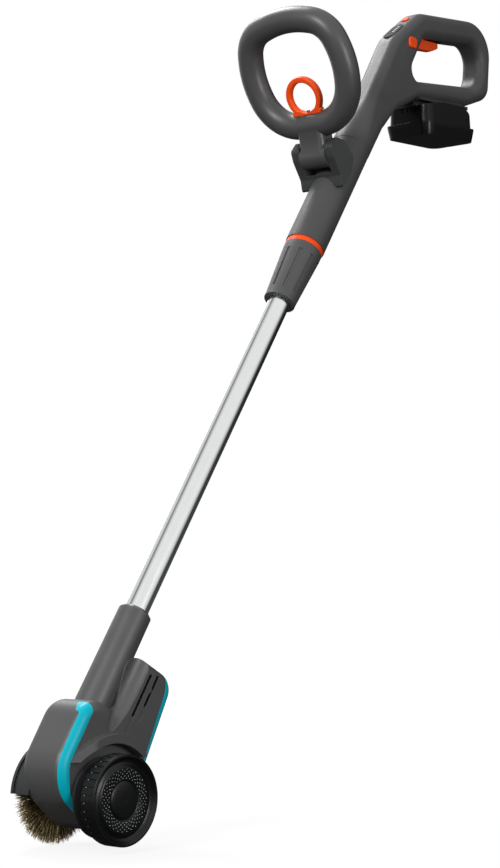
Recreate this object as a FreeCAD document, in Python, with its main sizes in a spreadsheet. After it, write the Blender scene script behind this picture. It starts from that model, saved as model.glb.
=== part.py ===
import FreeCAD, Part
import math
import os

import Sketcher
from FreeCAD import Placement, Rotation, Vector

# Cordless patio cleaner: a brush disc and a guide wheel on one axle line, driven by a motor in the head,
# on a sliding tube below a handle with a hand loop, a trigger and a battery.
# X runs along the axle towards the wheel, Y runs back to the user, Z is up, and zero is the paving below the axle.

# Driving dimensions in millimetres and degrees
SIZES = [
    ("wheel_radius", 52.5, "rolling radius of the guide wheel"),
    ("wheel_width", 21.6, "width of the tread"),
    ("wheel_outer_face", 76.6, "outer face of the wheel from the shaft plane"),
    ("wheel_wall", 4.0, "thickness of the wheel's rim and web"),
    ("wheel_bore_radius", 6.1, "bore of the wheel"),
    ("lug_depth", 1.3, "depth of the notches in the tread"),
    ("lug_notch", 1.8, "width of one notch"),
    ("lug_count", 36, "notches round the tread"),
    ("brush_radius", 60.0, "radius at the bristle tips"),
    ("brush_width", 11.0, "width at the bristle tips"),
    ("brush_near_face", 34.0, "near face of the brush from the shaft plane"),
    ("brush_core_radius", 25.0, "radius of the disc that holds the bristles"),
    ("brush_bore_radius", 4.05, "bore of the brush disc"),
    ("axle_radius", 4.0, "steel brush axle"),
    ("axle_overhang", 9.0, "threaded end beyond the brush"),
    ("shaft_lean", 33.64, "lean of the shaft back from upright"),
    ("shaft_foot", 48.63, "shaft axis ahead of the axle at axle height"),
    ("tube_radius", 14.6, "outside of the aluminium tube"),
    ("tube_wall", 1.5, "wall of the tube"),
    ("tube_bottom", 132.0, "lower end of the tube along the shaft"),
    ("tube_top", 885.0, "upper end of the tube along the shaft"),
    ("case_height", 200.0, "size that the head's side view is shared from"),
    ("case_far_half", 32.0, "far side of the head from the shaft plane"),
    ("case_near_half", 36.0, "near side of the head from the shaft plane"),
    ("case_wall", 2.6, "wall of the head casing"),
    ("case_round", 13.0, "rounding of the casing's long edges"),
    ("trim_depth", 1.5, "thickness of the coloured trims"),
    ("trim_edge", 29.5, "inner edge of the trims from the shaft plane"),
    ("trim_width", 15.5, "width of the front trim"),
    ("socket_radius", 20.6, "outside of the tube socket"),
    ("socket_flare", 1.4, "extra radius at the foot of the socket"),
    ("socket_foot", 96.0, "foot of the socket along the shaft"),
    ("socket_top", 254.0, "top of the socket along the shaft"),
    ("socket_chamfer", 3.6, "chamfer at the socket's mouth"),
    ("arch_depth", 14.0, "how far the wheel arch stands out"),
    ("guard_radius", 64.2, "outside of the brush guard"),
    ("guard_wall", 2.4, "wall of the brush guard"),
    ("guard_side", 47.8, "outer side of the guard from the shaft plane"),
    ("motor_radius", 18.5, "motor can"),
    ("motor_length", 56.0, "length of the motor can"),
    ("motor_start", 60.0, "front of the motor can from the axle"),
    ("motor_shaft_radius", 2.5, "motor shaft"),
    ("gear_module", 1.6, "tooth size of the right-angle drive"),
    ("pinion_teeth", 10, "teeth of the pinion"),
    ("crown_teeth", 36, "teeth of the crown wheel"),
    ("crown_radius", 31.0, "outside of the crown wheel"),
    ("crown_inner", 23.5, "inner ends of the crown wheel's teeth"),
    ("crown_back", 6.0, "thickness of the crown wheel's disc"),
    ("bearing_radius", 11.0, "outside of the axle bearings"),
    ("bearing_width", 7.0, "width of the axle bearings"),
    ("sleeve_radius", 17.6, "outside of the split grip sleeve"),
    ("sleeve_bottom", 738.0, "lower end of the grip sleeve along the shaft"),
    ("sleeve_slot", 2.4, "slots that let the sleeve close on the tube"),
    ("flange_height", 12.0, "height of the sleeve's flange"),
    ("collar_bottom", 731.0, "lower end of the twist collar along the shaft"),
    ("collar_top", 817.7, "upper end of the twist collar along the shaft"),
    ("collar_foot_radius", 20.0, "lower outside of the twist collar"),
    ("collar_top_radius", 25.8, "upper outside of the twist collar"),
    ("collar_groove", 4.4, "width of the collar's grip grooves"),
    ("collar_grooves", 9, "grip grooves round the collar"),
    ("ring_height", 2.0, "gap between barrel and flange"),
    ("glide_length", 18.0, "length of the glide on the tube"),
    ("guide_bore", 16.7, "bore that the glide runs in"),
    ("barrel_radius", 27.0, "outside of the handle's barrel"),
    ("barrel_start", 825.0, "lower end of the barrel along the shaft"),
    ("handle_wall", 2.6, "wall of the handle halves"),
    ("grip_start", 1085.0, "where the barrel ends in the grip, along the shaft"),
    ("grip_length", 200.0, "size that the grip's side view is shared from"),
    ("grip_width", 39.0, "width of the grip across"),
    ("grip_front", 21.7, "front of the handle ahead of the shaft axis where the grip starts"),
    ("grip_under", 27.0, "underside of the handle behind the shaft axis where the grip starts"),
    ("grip_lap", 25.0, "how far the grip's foot reaches down into the swell"),
    ("grip_round", 12.0, "rounding of the grip's long edges"),
    ("swell_length", 85.0, "length over which the barrel turns into the grip"),
    ("swell_round", 13.0, "corner rounding of the handle where the grip starts"),
    ("battery_length", 117.0, "length of the battery"),
    ("battery_width", 79.0, "width of the battery"),
    ("battery_height", 49.0, "height of the battery"),
    ("battery_slope", 42.0, "length of the slope at the battery's front"),
    ("battery_drop", 7.0, "drop of the slope at the battery's front"),
    ("battery_split", 16.0, "height of the seam between the battery's halves"),
    ("battery_wall", 2.5, "wall of the battery case"),
    ("battery_pitch", 1.55, "upward pitch of the battery to the back"),
    ("cell_radius", 9.2, "outside of one cell"),
    ("cell_length", 65.0, "length of one cell"),
    ("cell_gap", 1.2, "space between cells"),
    ("yoke_along", 945.0, "hinge of the hand loop along the shaft"),
    ("yoke_ahead", 45.0, "hinge of the hand loop ahead of the shaft axis"),
    ("ear_inner", 22.0, "inner face of the yoke's ears from the middle"),
    ("ear_thickness", 13.0, "thickness of one ear"),
    ("ear_size", 37.5, "size that the ear's side view is shared from"),
    ("hub_radius", 15.8, "hub of the hand loop on the hinge"),
    ("hinge_bolt_radius", 4.0, "hinge bolt of the hand loop"),
    ("loop_lean", 25.0, "lean of the hand loop to the front"),
    ("loop_offset", 8.2, "loop's plane behind the hinge"),
    ("loop_section", 17.3, "radius of the loop's round grip"),
    ("loop_height", 149.0, "size that the loop's centre line is shared from"),
    ("ring_offset", 5.2, "pull ring's plane behind the hinge"),
    ("ring_rise", 21.4, "centre of the pull ring above its seat on the loop"),
    ("ring_outer", 28.5, "outside of the pull ring"),
    ("ring_inner", 20.3, "inside of the pull ring"),
    ("ring_thickness", 9.0, "thickness of the pull ring"),
    ("running_fit", 0.06, "radial clearance of a running fit"),
    ("slide_gap", 0.3, "clearance between pieces that slide"),
    ("seat_gap", 0.1, "clearance between fixed pieces"),
    ("overrun", 60.0, "how far a cut runs past the piece"),
]

doc = FreeCAD.newDocument("patio_cleaner")
sheet = doc.addObject("Spreadsheet::Sheet", "Sizes")


class Size:
    """A length, angle or count, with the formula that holds it in the sheet."""

    def __init__(self, value, formula):
        self.value = value
        self.formula = formula

    def __float__(self):
        return float(self.value)


def as_size(item):
    """Give a plain number the form of a size."""
    return item if isinstance(item, Size) else Size(item, repr(item))


def joined(first, second, sign, value):
    """Join two sizes into one formula."""
    return Size(value, "({} {} {})".format(as_size(first).formula, sign, as_size(second).formula))


Size.__add__ = lambda a, b: joined(a, b, "+", float(a) + float(b))
Size.__radd__ = lambda a, b: joined(b, a, "+", float(b) + float(a))
Size.__sub__ = lambda a, b: joined(a, b, "-", float(a) - float(b))
Size.__rsub__ = lambda a, b: joined(b, a, "-", float(b) - float(a))
Size.__mul__ = lambda a, b: joined(a, b, "*", float(a) * float(b))
Size.__rmul__ = lambda a, b: joined(b, a, "*", float(b) * float(a))
Size.__truediv__ = lambda a, b: joined(a, b, "/", float(a) / float(b))
Size.__neg__ = lambda a: joined(-1, a, "*", -float(a))


class Sizes:
    """The named sizes, both as sheet cells and as values here."""


d = Sizes()
for row, (name, value, meaning) in enumerate(SIZES, start=1):
    sheet.set("A{}".format(row), name)
    sheet.set("B{}".format(row), str(value))
    sheet.setAlias("B{}".format(row), name)
    sheet.set("C{}".format(row), meaning)
    setattr(d, name, Size(value, "Sizes." + name))
doc.recompute()

parts = []
ORIGIN = Vector(0, 0, 0)
ALONG_X = Rotation(Vector(0, 1, 0), 90)
AXLE = Vector(0, 0, float(d.wheel_radius))


# Helpers for outlines, bodies and plain shapes

def bind(thing, name, size):
    """Set a property and tie it to its sheet formula."""
    size = as_size(size)
    setattr(thing, name, float(size))
    thing.setExpression(name, size.formula)


def kept(thing, label, place=None):
    """Name a finished sub-part and set it in place."""
    thing.Label = label
    if place is not None:
        thing.Placement = place
    parts.append(thing)
    return thing


def shaped(label, shape, place=None):
    """Keep a shape that code has formed as one sub-part."""
    thing = doc.addObject("Part::Feature", label)
    thing.Shape = shape
    return kept(thing, label, place)


def new_body(label, place=None):
    """Start a body made from sketches."""
    body = doc.addObject("PartDesign::Body", label)
    return kept(body, label, place)


def sketch_in(body, role, name):
    """Open a sketch on one of the body's own origin planes."""
    plane = [item for item in body.Origin.OriginFeatures if item.Role == role][0]
    sketch = body.newObject("Sketcher::SketchObject", name)
    sketch.AttachmentSupport = [(plane, "")]
    sketch.MapMode = "FlatFace"
    return sketch


def pin_point(sketch, shape, point, across, up):
    """Tie a sketch point to its sizes, or to an axis where the size is zero."""
    for kind, axis, size in (("DistanceX", -2, across), ("DistanceY", -1, up)):
        if float(size) == 0:
            sketch.addConstraint(Sketcher.Constraint("PointOnObject", shape, point, axis))
            continue
        index = sketch.addConstraint(Sketcher.Constraint(kind, -1, 1, shape, point, float(size)))
        sketch.setExpression("Constraints[{}]".format(index), as_size(size).formula)


def draw_outline(sketch, corners):
    """Draw a closed outline of straight lines through the corners."""
    points = [Vector(float(across), float(up), 0) for across, up in corners]
    first = sketch.GeometryCount
    last = len(points) - 1
    for index, point in enumerate(points):
        sketch.addGeometry(Part.LineSegment(point, points[0 if index == last else index + 1]), False)
    for index, (across, up) in enumerate(corners):
        after = 0 if index == last else index + 1
        sketch.addConstraint(Sketcher.Constraint("Coincident", first + index, 2, first + after, 1))
        pin_point(sketch, first + index, 1, across, up)


def draw_circle(sketch, across, up, radius):
    """Draw a circle with its centre and radius tied to sizes."""
    centre = Vector(float(across), float(up), 0)
    index = sketch.addGeometry(Part.Circle(centre, Vector(0, 0, 1), float(radius)), False)
    pin_point(sketch, index, 3, across, up)
    rule = sketch.addConstraint(Sketcher.Constraint("Radius", index, float(radius)))
    sketch.setExpression("Constraints[{}]".format(rule), as_size(radius).formula)


def turned(label, corners, place=None):
    """Make a turned piece from its radius and height corners; its axis is the body's Z."""
    body = new_body(label, place)
    sketch = sketch_in(body, "XZ_Plane", label + "_profile")
    draw_outline(sketch, corners)
    turning = body.newObject("PartDesign::Revolution", label + "_turning")
    turning.Profile = sketch
    turning.ReferenceAxis = (sketch, ["V_Axis"])
    turning.Angle = 360
    return body


def padded(label, corners, height, place=None, start=None):
    """Make a flat piece from its outline in the body's XY plane."""
    body = new_body(label, place)
    sketch = sketch_in(body, "XY_Plane", label + "_outline")
    if start is not None:
        sketch.AttachmentOffset = Placement(Vector(0, 0, float(start)), Rotation())
        sketch.setExpression(".AttachmentOffset.Base.z", as_size(start).formula)
    draw_outline(sketch, corners)
    pad = body.newObject("PartDesign::Pad", label + "_pad")
    pad.Profile = sketch
    bind(pad, "Length", height)
    return body


def rounded_wire(corners):
    """Join corners with straight lines, each corner turned on its own radius."""
    edges = []
    starts = []
    ends = []
    count = len(corners)
    for index, (point, radius) in enumerate(corners):
        back = (corners[index - 1][0] - point).normalize()
        ahead = (corners[(index + 1) % count][0] - point).normalize()
        half = back.getAngle(ahead) / 2
        reach = radius / math.tan(half)
        start = point + back * reach
        end = point + ahead * reach
        starts.append(start)
        ends.append(end)
        if radius > 0:
            middle = (back + ahead).normalize()
            peak = point + middle * (radius / math.sin(half) - radius)
            edges.append(Part.Arc(start, peak, end).toShape())
        else:
            edges.append(None)
    wire = []
    for index in range(count):
        if edges[index] is not None:
            wire.append(edges[index])
        after = (index + 1) % count
        wire.append(Part.makeLine(ends[index], starts[after]))
    return Part.Wire(wire)


def side_face(corners, inset=0.0):
    """Fill an outline given as back, up and corner radius, seen from the side."""
    wire = rounded_wire([(Vector(0, back, up), radius) for back, up, radius in corners])
    face = Part.Face(wire)
    if inset:
        face = face.makeOffset2D(-inset)
    return face


def side_slab(face, low, high):
    """Thicken a side-view face from one distance across the tool to another."""
    slab = face.copy()
    slab.translate(Vector(low, 0, 0))
    return slab.extrude(Vector(high - low, 0, 0))


def rim_edges(shape, low, high):
    """Find the edges that lie in the two end planes of a slab."""
    found = []
    for edge in shape.Edges:
        box = edge.BoundBox
        if abs(box.XMax - box.XMin) < 1e-6 and min(abs(box.XMin - low), abs(box.XMin - high)) < 1e-6:
            found.append(edge)
    return found


def soft_slab(face, low, high, rounding):
    """Thicken a side-view face and round its long edges."""
    slab = side_slab(face, low, high)
    return slab.makeFillet(rounding, rim_edges(slab, low, high))


# Frames along the shaft: X stays, Z runs up the shaft, and Y points to the underside

SHAFT_FOOT = Vector(0, -float(d.shaft_foot), float(d.wheel_radius))
SHAFT_TURN = Rotation(Vector(1, 0, 0), -float(d.shaft_lean))
SHAFT = Placement(SHAFT_FOOT, SHAFT_TURN)


def on_shaft(across, under, along):
    """Give the place of a point measured along the shaft."""
    return SHAFT.multVec(Vector(across, under, along))


def shaft_cone(foot_radius, top_radius, foot, top):
    """Make a round bar or cone along the shaft."""
    start = on_shaft(0, 0, foot)
    ahead = SHAFT_TURN.multVec(Vector(0, 0, 1))
    if foot_radius == top_radius:
        return Part.makeCylinder(foot_radius, top - foot, start, ahead)
    return Part.makeCone(foot_radius, top_radius, top - foot, start, ahead)


# Head casing: two moulded halves with the tube socket, and a hood ahead of them

# The side view of the head from the axle: back, up and corner radius, as shares of the casing height
HEAD_SHARES = [
    (-0.325, 0.230, 0.250),
    (-0.325, 0.0425, 0.240),
    (-0.0715, -0.1865, 0.180),
    (0.2195, -0.1865, 0.290),
    (0.635, 0.6375, 0.115),
    (0.290, 0.8275, 0.090),
    (0.165, 0.4700, 0.060),
    (-0.078, 0.6150, 0.165),
]
# The seam behind the hood and its front trim, given the same way, with the space ahead of it
HOOD_SHARES = [
    (-0.670, 0.9275, 0.0),
    (-0.040, 0.5375, 0.060),
    (-0.255, 0.2075, 0.150),
    (-0.250, 0.0475, 0.150),
    (0.020, -0.3275, 0.0),
    (-0.670, -0.3275, 0.0),
]
# The space behind the seam of the rear trim
REAR_SHARES = [
    (0.140, -0.2675, 0.0),
    (0.5265, 0.578, 0.070),
    (0.560, 0.800, 0.0),
    (0.900, 0.800, 0.0),
    (0.900, -0.2675, 0.0),
]


def from_axle(shares):
    """Turn shares of the casing height into places from the axle."""
    unit = float(d.case_height)
    return [(back * unit, AXLE.z + up * unit, radius * unit) for back, up, radius in shares]


def head_case(inset):
    """Fill the head casing up to a distance below its skin."""
    low = inset - float(d.case_far_half)
    high = float(d.case_near_half) - inset
    return soft_slab(side_face(from_axle(HEAD_SHARES), inset), low, high, float(d.case_round) - inset)


def across_bar(radius, low, high, centre=AXLE):
    """Make a round bar across the tool."""
    return Part.makeCylinder(radius, high - low, Vector(low, centre.y, centre.z), Vector(1, 0, 0))


def half_space(low, high):
    """Make a block that takes in the whole tool between two distances across."""
    reach = float(d.tube_top)
    corner = Vector(low, -reach, -reach)
    return Part.makeBox(high - low, reach * 3, reach * 3, corner)


over = float(d.overrun)
far_side = -float(d.case_far_half)
near_side = float(d.case_near_half)
wall = float(d.case_wall)
seat = float(d.seat_gap)
case_outer = head_case(0.0)
case_inner = head_case(wall)
case_skin = case_outer.cut(head_case(float(d.trim_depth)))

socket = shaft_cone(
    float(d.socket_radius + d.socket_flare), float(d.socket_radius), float(d.socket_foot), float(d.socket_top)
)
socket_mouth = on_shaft(0, 0, float(d.socket_top))
mouth_edges = [edge for edge in socket.Edges if (edge.CenterOfMass - socket_mouth).Length < float(d.tube_wall)]
socket = socket.makeChamfer(float(d.socket_chamfer), mouth_edges)
tube_hole = shaft_cone(float(d.tube_radius) + seat, float(d.tube_radius) + seat, float(d.tube_bottom), float(d.tube_top))

# A long scoop in the near wall runs down between the socket and the motor bay
scoop_across = 39.0
scoop_under = 9.0
scoop_along = 175.0
scoop_half_length = 80.0
scoop_radius = 17.0


def scoop(extra):
    """Make the scoop's egg shape, larger by a distance."""
    egg = Part.makeSphere(scoop_radius + extra)
    stretch = FreeCAD.Matrix()
    stretch.scale(1, 1, (scoop_half_length + extra) / (scoop_radius + extra))
    egg = egg.transformGeometry(stretch)
    egg.Placement = Placement(on_shaft(scoop_across, scoop_under, scoop_along), SHAFT_TURN)
    return egg


case_outer = case_outer.cut(scoop(0.0))
case_inner = case_inner.cut(scoop(wall))

# Bosses for the axle bearings stand on both inner walls
boss_wall = 2.6
boss_radius = float(d.bearing_radius) + boss_wall
bearing_seat = float(d.bearing_radius) + seat / 2
bearing_width = float(d.bearing_width)
far_boss = across_bar(boss_radius, far_side + wall / 2, far_side + wall + bearing_width)
near_boss = across_bar(boss_radius, near_side - wall - bearing_width, near_side - wall / 2)
far_seat = across_bar(bearing_seat, far_side + wall, far_side + over)
near_seat = across_bar(bearing_seat, near_side - over, near_side - wall)
axle_hole = across_bar(float(d.axle_radius) + float(d.slide_gap) * 3, far_side - over, 0)

# The wheel arch is a crescent that stands out from the near wall
arch_outer_radius = 85.0
arch_inner_radius = 68.0
arch_outer_back = 12.0
arch_inner_back = 8.0
arch_outer_up = -12.0
arch_inner_up = -5.5
arch_tip_up = 43.5
arch_tip_back = 60.0
arch_taper_start = -56.0
arch_taper_end = -20.0
arch_inset = 7.0
arch = across_bar(
    arch_outer_radius, near_side - wall / 2, near_side + float(d.arch_depth),
    AXLE + Vector(0, arch_outer_back, arch_outer_up)
)
arch = arch.cut(
    across_bar(arch_inner_radius, near_side - over, near_side + over, AXLE + Vector(0, arch_inner_back, arch_inner_up))
)
arch_block = Part.makeBox(
    over * 3, arch_outer_radius * 2 + arch_tip_back, arch_outer_radius * 3,
    Vector(near_side - over, -arch_outer_radius * 2, AXLE.z + arch_tip_up)
)
arch = arch.common(arch_block)
arch_slab = side_slab(side_face(from_axle(HEAD_SHARES), arch_inset), near_side - wall, near_side + float(d.arch_depth))
arch = arch.common(arch_slab)
# The front end of the arch runs out to nothing
taper = Part.Face(Part.makePolygon([
    Vector(near_side, arch_taper_start, -over),
    Vector(near_side + float(d.arch_depth), arch_taper_end, -over),
    Vector(near_side + over, arch_taper_end, -over),
    Vector(near_side + over, arch_taper_start * 2, -over),
    Vector(near_side, arch_taper_start * 2, -over),
    Vector(near_side, arch_taper_start, -over),
])).extrude(Vector(0, 0, float(d.case_height) * 2))
arch = arch.cut(taper)
arch = max(arch.Solids, key=lambda solid: solid.Volume)

casing = case_outer.fuse([socket])
casing = casing.cut(case_inner.cut(far_boss.fuse(near_boss)))
casing = casing.fuse(arch)
casing = casing.cut(tube_hole.fuse([far_seat, near_seat, axle_hole]))

# Vent slots run along the shaft in the near wall, each with a shallow groove below the open slot
vent_width = 4.2
groove_depth = 1.1
VENTS = [(32.5, 109.0, 130.0, 187.0), (43.5, 130.0, 150.0, 192.0)]


def slot_block(under, low, high, width, inner, outer):
    """Make a round-ended block along the shaft that cuts a slot in a side wall."""
    face = Part.Face(rounded_wire([
        (Vector(inner, under - width / 2, low), width * 0.49),
        (Vector(inner, under + width / 2, low), width * 0.49),
        (Vector(inner, under + width / 2, high), width * 0.49),
        (Vector(inner, under - width / 2, high), width * 0.49),
    ]))
    block = face.extrude(Vector(outer - inner, 0, 0))
    block.Placement = SHAFT.multiply(block.Placement)
    return block


for under, groove_low, slot_low, slot_high in VENTS:
    slot = slot_block(under, slot_low, slot_high, vent_width, near_side - wall * 2, near_side + over)
    groove = slot_block(under, groove_low, slot_high, vent_width, near_side - groove_depth, near_side + over)
    casing = casing.cut([slot, groove])

# Screws that close the casing go in from the far side
screw_radius = 1.5
screw_head_radius = 3.0
screw_head_height = 2.2
screw_post_radius = 4.2
SCREW_SHARES = [(0.400, 0.600), (0.360, 0.300), (-0.020, 0.440), (-0.190, 0.100)]
screw_places = [
    AXLE + Vector(0, back * float(d.case_height), up * float(d.case_height)) for back, up in SCREW_SHARES
]
posts = [across_bar(screw_post_radius, far_side + wall / 2, near_side - wall / 2, place) for place in screw_places]
screw_holes = [across_bar(screw_radius + seat, far_side - over, near_side - wall, place) for place in screw_places]
head_holes = [
    across_bar(screw_head_radius + seat, far_side - over, far_side + screw_head_height, place) for place in screw_places
]
casing = casing.fuse(posts).cut(screw_holes + head_holes)
screw_bars = []
for place in screw_places:
    bar = across_bar(screw_radius, far_side + screw_head_height / 2, near_side - wall * 3, place)
    cap = across_bar(screw_head_radius, far_side + seat, far_side + screw_head_height - seat / 2, place)
    screw_bars.append(bar.fuse(cap))

# The trim's inner edge near the top: across as a share of the near side, up as a share of the casing height
TRIM_CREST_SHARES = [(0.820, 0.360), (0.760, 0.440), (0.690, 0.490), (0.560, 0.525), (0.380, 0.548)]
front_zone = side_slab(side_face(from_axle(HOOD_SHARES)), far_side - over, near_side + over)
ahead_zone = front_zone.copy()
ahead_zone.translate(Vector(0, -float(d.trim_width), 0))
rear_zone = side_slab(side_face(from_axle(REAR_SHARES)), far_side - over, near_side + over)
trim_zone = half_space(float(d.trim_edge), near_side + over)
crest_corners = [
    Vector(across * near_side, -over * 2, AXLE.z + up * float(d.case_height)) for across, up in TRIM_CREST_SHARES
]
crest_corners += [Vector(crest_corners[-1].x, -over * 2, over * 4), Vector(near_side + over, -over * 2, over * 4)]
crest_corners += [Vector(near_side + over, -over * 2, crest_corners[0].z), crest_corners[0]]
crest = Part.Face(Part.makePolygon(crest_corners)).extrude(Vector(0, over * 4, 0))
front_trim = case_skin.common(front_zone.cut(ahead_zone)).common(trim_zone.fuse(crest))
rear_trim = case_skin.common(rear_zone).common(trim_zone).cut(arch)
front_trim = max(front_trim.Solids, key=lambda solid: solid.Volume)
rear_trim = max(rear_trim.Solids, key=lambda solid: solid.Volume)
casing = casing.cut([front_trim, rear_trim])
hood_part = casing.common(front_zone)
hood_part = max(hood_part.Solids, key=lambda solid: solid.Volume)
rest = casing.cut(front_zone)
far_half = rest.common(half_space(far_side - over, 0))
near_half = rest.common(half_space(0, near_side + over))
shaped("head_case_far", max(far_half.Solids, key=lambda solid: solid.Volume))
shaped("head_case_near", max(near_half.Solids, key=lambda solid: solid.Volume))
shaped("front_hood", hood_part)
shaped("front_trim", front_trim)
shaped("rear_trim", rear_trim)
shaped("head_screws", Part.makeCompound(screw_bars))

# Brush guard: a moulded band and side over the upper half of the brush

guard_outer = float(d.guard_radius)
guard_wall = float(d.guard_wall)
guard_side = float(d.guard_side)
guard_step = 1.3
guard_lip = 4.0
guard_groove = 3.0
guard_open_radius = 34.0
guard_start_angle = 176.0
guard_sweep = 190.0
guard_inner = guard_outer - guard_wall - guard_step / 2
guard_profile = [
    (far_side + float(d.case_round), guard_inner),
    (far_side + float(d.case_round), guard_outer - guard_step),
    (-guard_side + guard_lip + guard_groove, guard_outer - guard_step),
    (-guard_side + guard_lip + guard_groove, guard_outer - guard_step * 2),
    (-guard_side + guard_lip, guard_outer - guard_step * 2),
    (-guard_side + guard_lip, guard_outer),
    (-guard_side, guard_outer),
    (-guard_side, guard_open_radius),
    (-guard_side + guard_wall, guard_open_radius),
    (-guard_side + guard_wall, guard_inner),
]
guard_wire = Part.makePolygon([AXLE + Vector(across, 0, radius) for across, radius in guard_profile + guard_profile[:1]])
guard_face = Part.Face(guard_wire)
guard_face.rotate(AXLE, Vector(1, 0, 0), 90 - (180 - guard_start_angle))
guard = guard_face.revolve(AXLE, Vector(1, 0, 0), -guard_sweep)
guard = guard.cut(case_outer).cut(socket)
shaped("brush_guard", max(guard.Solids, key=lambda solid: solid.Volume))

# Tube: drawn aluminium, held in the socket by a cross screw

turned("tube", [
    (d.tube_radius - d.tube_wall, d.tube_bottom),
    (d.tube_radius, d.tube_bottom),
    (d.tube_radius, d.tube_top),
    (d.tube_radius - d.tube_wall, d.tube_top),
], SHAFT)

# Axle line: the brush, its crown wheel and the bearings turn about one axis across the tool

brush_near = -float(d.brush_near_face)
axle_place = Placement(Vector(0, 0, float(d.wheel_radius)), ALONG_X)
shoulder_radius = 7.5
shoulder_gap = 0.4
crown_hub_radius = 8.5
# Heights along the axle grow towards the wheel
axle_near_end = d.case_near_half - d.case_wall - d.seat_gap
axle_far_end = -(d.brush_near_face + d.brush_width + d.axle_overhang)
bind_shoulder = -(d.case_far_half + shoulder_gap)
turned("brush_axle", [
    (0, axle_far_end),
    (d.axle_radius - d.seat_gap, axle_far_end),
    (d.axle_radius - d.seat_gap, -d.brush_near_face),
    (shoulder_radius, -d.brush_near_face),
    (shoulder_radius, bind_shoulder),
    (d.axle_radius, bind_shoulder),
    (d.axle_radius, axle_near_end),
    (0, axle_near_end),
], axle_place)

far_bearing = -(d.case_far_half - d.case_wall)
near_bearing = d.case_near_half - d.case_wall - d.bearing_width
bearing_bore = d.axle_radius + d.running_fit
bearing_rings = []
for start in (float(far_bearing), float(near_bearing)):
    ring = across_bar(float(d.bearing_radius), start, start + bearing_width)
    bearing_rings.append(ring.cut(across_bar(float(bearing_bore), start - over, start + over)))
shaped("axle_bearings", Part.makeCompound(bearing_rings))

# Crown wheel: teeth on the near face of a disc, driven by the pinion on the motor shaft
module = float(d.gear_module)
pinion_pitch_radius = module * float(d.pinion_teeth) / 2
pinion_tip_radius = pinion_pitch_radius + module * 0.62
pinion_root_radius = pinion_pitch_radius - module * 1.1
crown_tooth_top = pinion_pitch_radius - module * 0.38
crown_tooth_foot = pinion_pitch_radius + module
crown_tooth_width = 1.7
# The crown wheel is turned so that the pinion's tooth stands in a gap
half_tooth = 180 / float(d.crown_teeth)
quarter_turn = 90.0
shaft_rise = quarter_turn - float(d.shaft_lean)
gap_count = 2 * math.floor(shaft_rise / half_tooth / 2) + 1
crown_turn = Rotation(Vector(1, 0, 0), shaft_rise - gap_count * half_tooth)
crown = new_body(
    "crown_wheel", Placement(Vector(-crown_tooth_foot, 0, float(d.wheel_radius)), crown_turn.multiply(ALONG_X))
)
crown_sketch = sketch_in(crown, "XY_Plane", "crown_disc")
draw_circle(crown_sketch, 0, 0, d.crown_radius)
draw_circle(crown_sketch, 0, 0, d.axle_radius + d.seat_gap / 2)
crown_disc = crown.newObject("PartDesign::Pad", "crown_disc_pad")
crown_disc.Profile = crown_sketch
bind(crown_disc, "Length", d.crown_back)
crown_disc.Reversed = True
tooth_sketch = sketch_in(crown, "XY_Plane", "crown_tooth")
draw_outline(tooth_sketch, [
    (-crown_tooth_width / 2, d.crown_inner),
    (crown_tooth_width / 2, d.crown_inner),
    (crown_tooth_width / 2, d.crown_radius - d.seat_gap),
    (-crown_tooth_width / 2, d.crown_radius - d.seat_gap),
])
tooth_pad = crown.newObject("PartDesign::Pad", "crown_tooth_pad")
tooth_pad.Profile = tooth_sketch
tooth_pad.Length = crown_tooth_foot - crown_tooth_top
ring_of_teeth = crown.newObject("PartDesign::PolarPattern", "crown_teeth")
ring_of_teeth.Originals = [tooth_pad]
ring_of_teeth.Axis = (tooth_sketch, ["N_Axis"])
ring_of_teeth.Angle = 360
ring_of_teeth.Occurrences = int(float(d.crown_teeth))
crown.Tip = ring_of_teeth
crown_spacer = across_bar(
    crown_hub_radius, far_side + wall + bearing_width + shoulder_gap, -crown_tooth_foot - float(d.crown_back)
)
shaped("crown_spacer", crown_spacer.cut(across_bar(float(d.axle_radius) + seat / 2, -over * 2, over)))

# Brush: a plastic disc clamps rings of wire; the wire is one ring here
core_plate = 8.0
core_taper = (float(d.brush_width) - core_plate) / 2
brush_place = Placement(Vector(brush_near - float(d.brush_width), 0, float(d.wheel_radius)), ALONG_X)
turned("brush_disc", [
    (d.brush_bore_radius, 0),
    (d.brush_core_radius * 0.5, 0),
    (d.brush_core_radius * 0.6, core_taper),
    (d.brush_core_radius, core_taper),
    (d.brush_core_radius, d.brush_width - core_taper),
    (d.brush_core_radius * 0.6, d.brush_width - core_taper),
    (d.brush_core_radius * 0.5, d.brush_width),
    (d.brush_bore_radius, d.brush_width),
], brush_place)
turned("bristle_ring", [
    (d.brush_core_radius, core_taper),
    (d.brush_radius, 0),
    (d.brush_radius, d.brush_width),
    (d.brush_core_radius, d.brush_width - core_taper),
], brush_place)
nut_flats = 13.0
nut_height = 6.5
washer_radius = 9.0
washer_height = 1.4
nut_corner = nut_flats / 2 / math.cos(math.radians(30))
nut_base = brush_near - float(d.brush_width) - washer_height
nut = padded("brush_nut", [
    (nut_corner * math.cos(math.radians(60 * step)), nut_corner * math.sin(math.radians(60 * step)))
    for step in range(6)
], nut_height, Placement(Vector(nut_base - nut_height, 0, float(d.wheel_radius)), ALONG_X))
nut_hole_sketch = sketch_in(nut, "XY_Plane", "nut_hole")
draw_circle(nut_hole_sketch, 0, 0, d.axle_radius - d.seat_gap / 2)
nut_hole = nut.newObject("PartDesign::Pocket", "nut_hole_cut")
nut_hole.Profile = nut_hole_sketch
nut_hole.Type = 1
nut_hole.Reversed = True
turned("brush_washer", [
    (d.axle_radius - d.seat_gap / 2, 0),
    (washer_radius, 0),
    (washer_radius, washer_height),
    (d.axle_radius - d.seat_gap / 2, washer_height),
], Placement(Vector(nut_base, 0, float(d.wheel_radius)), ALONG_X))

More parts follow.
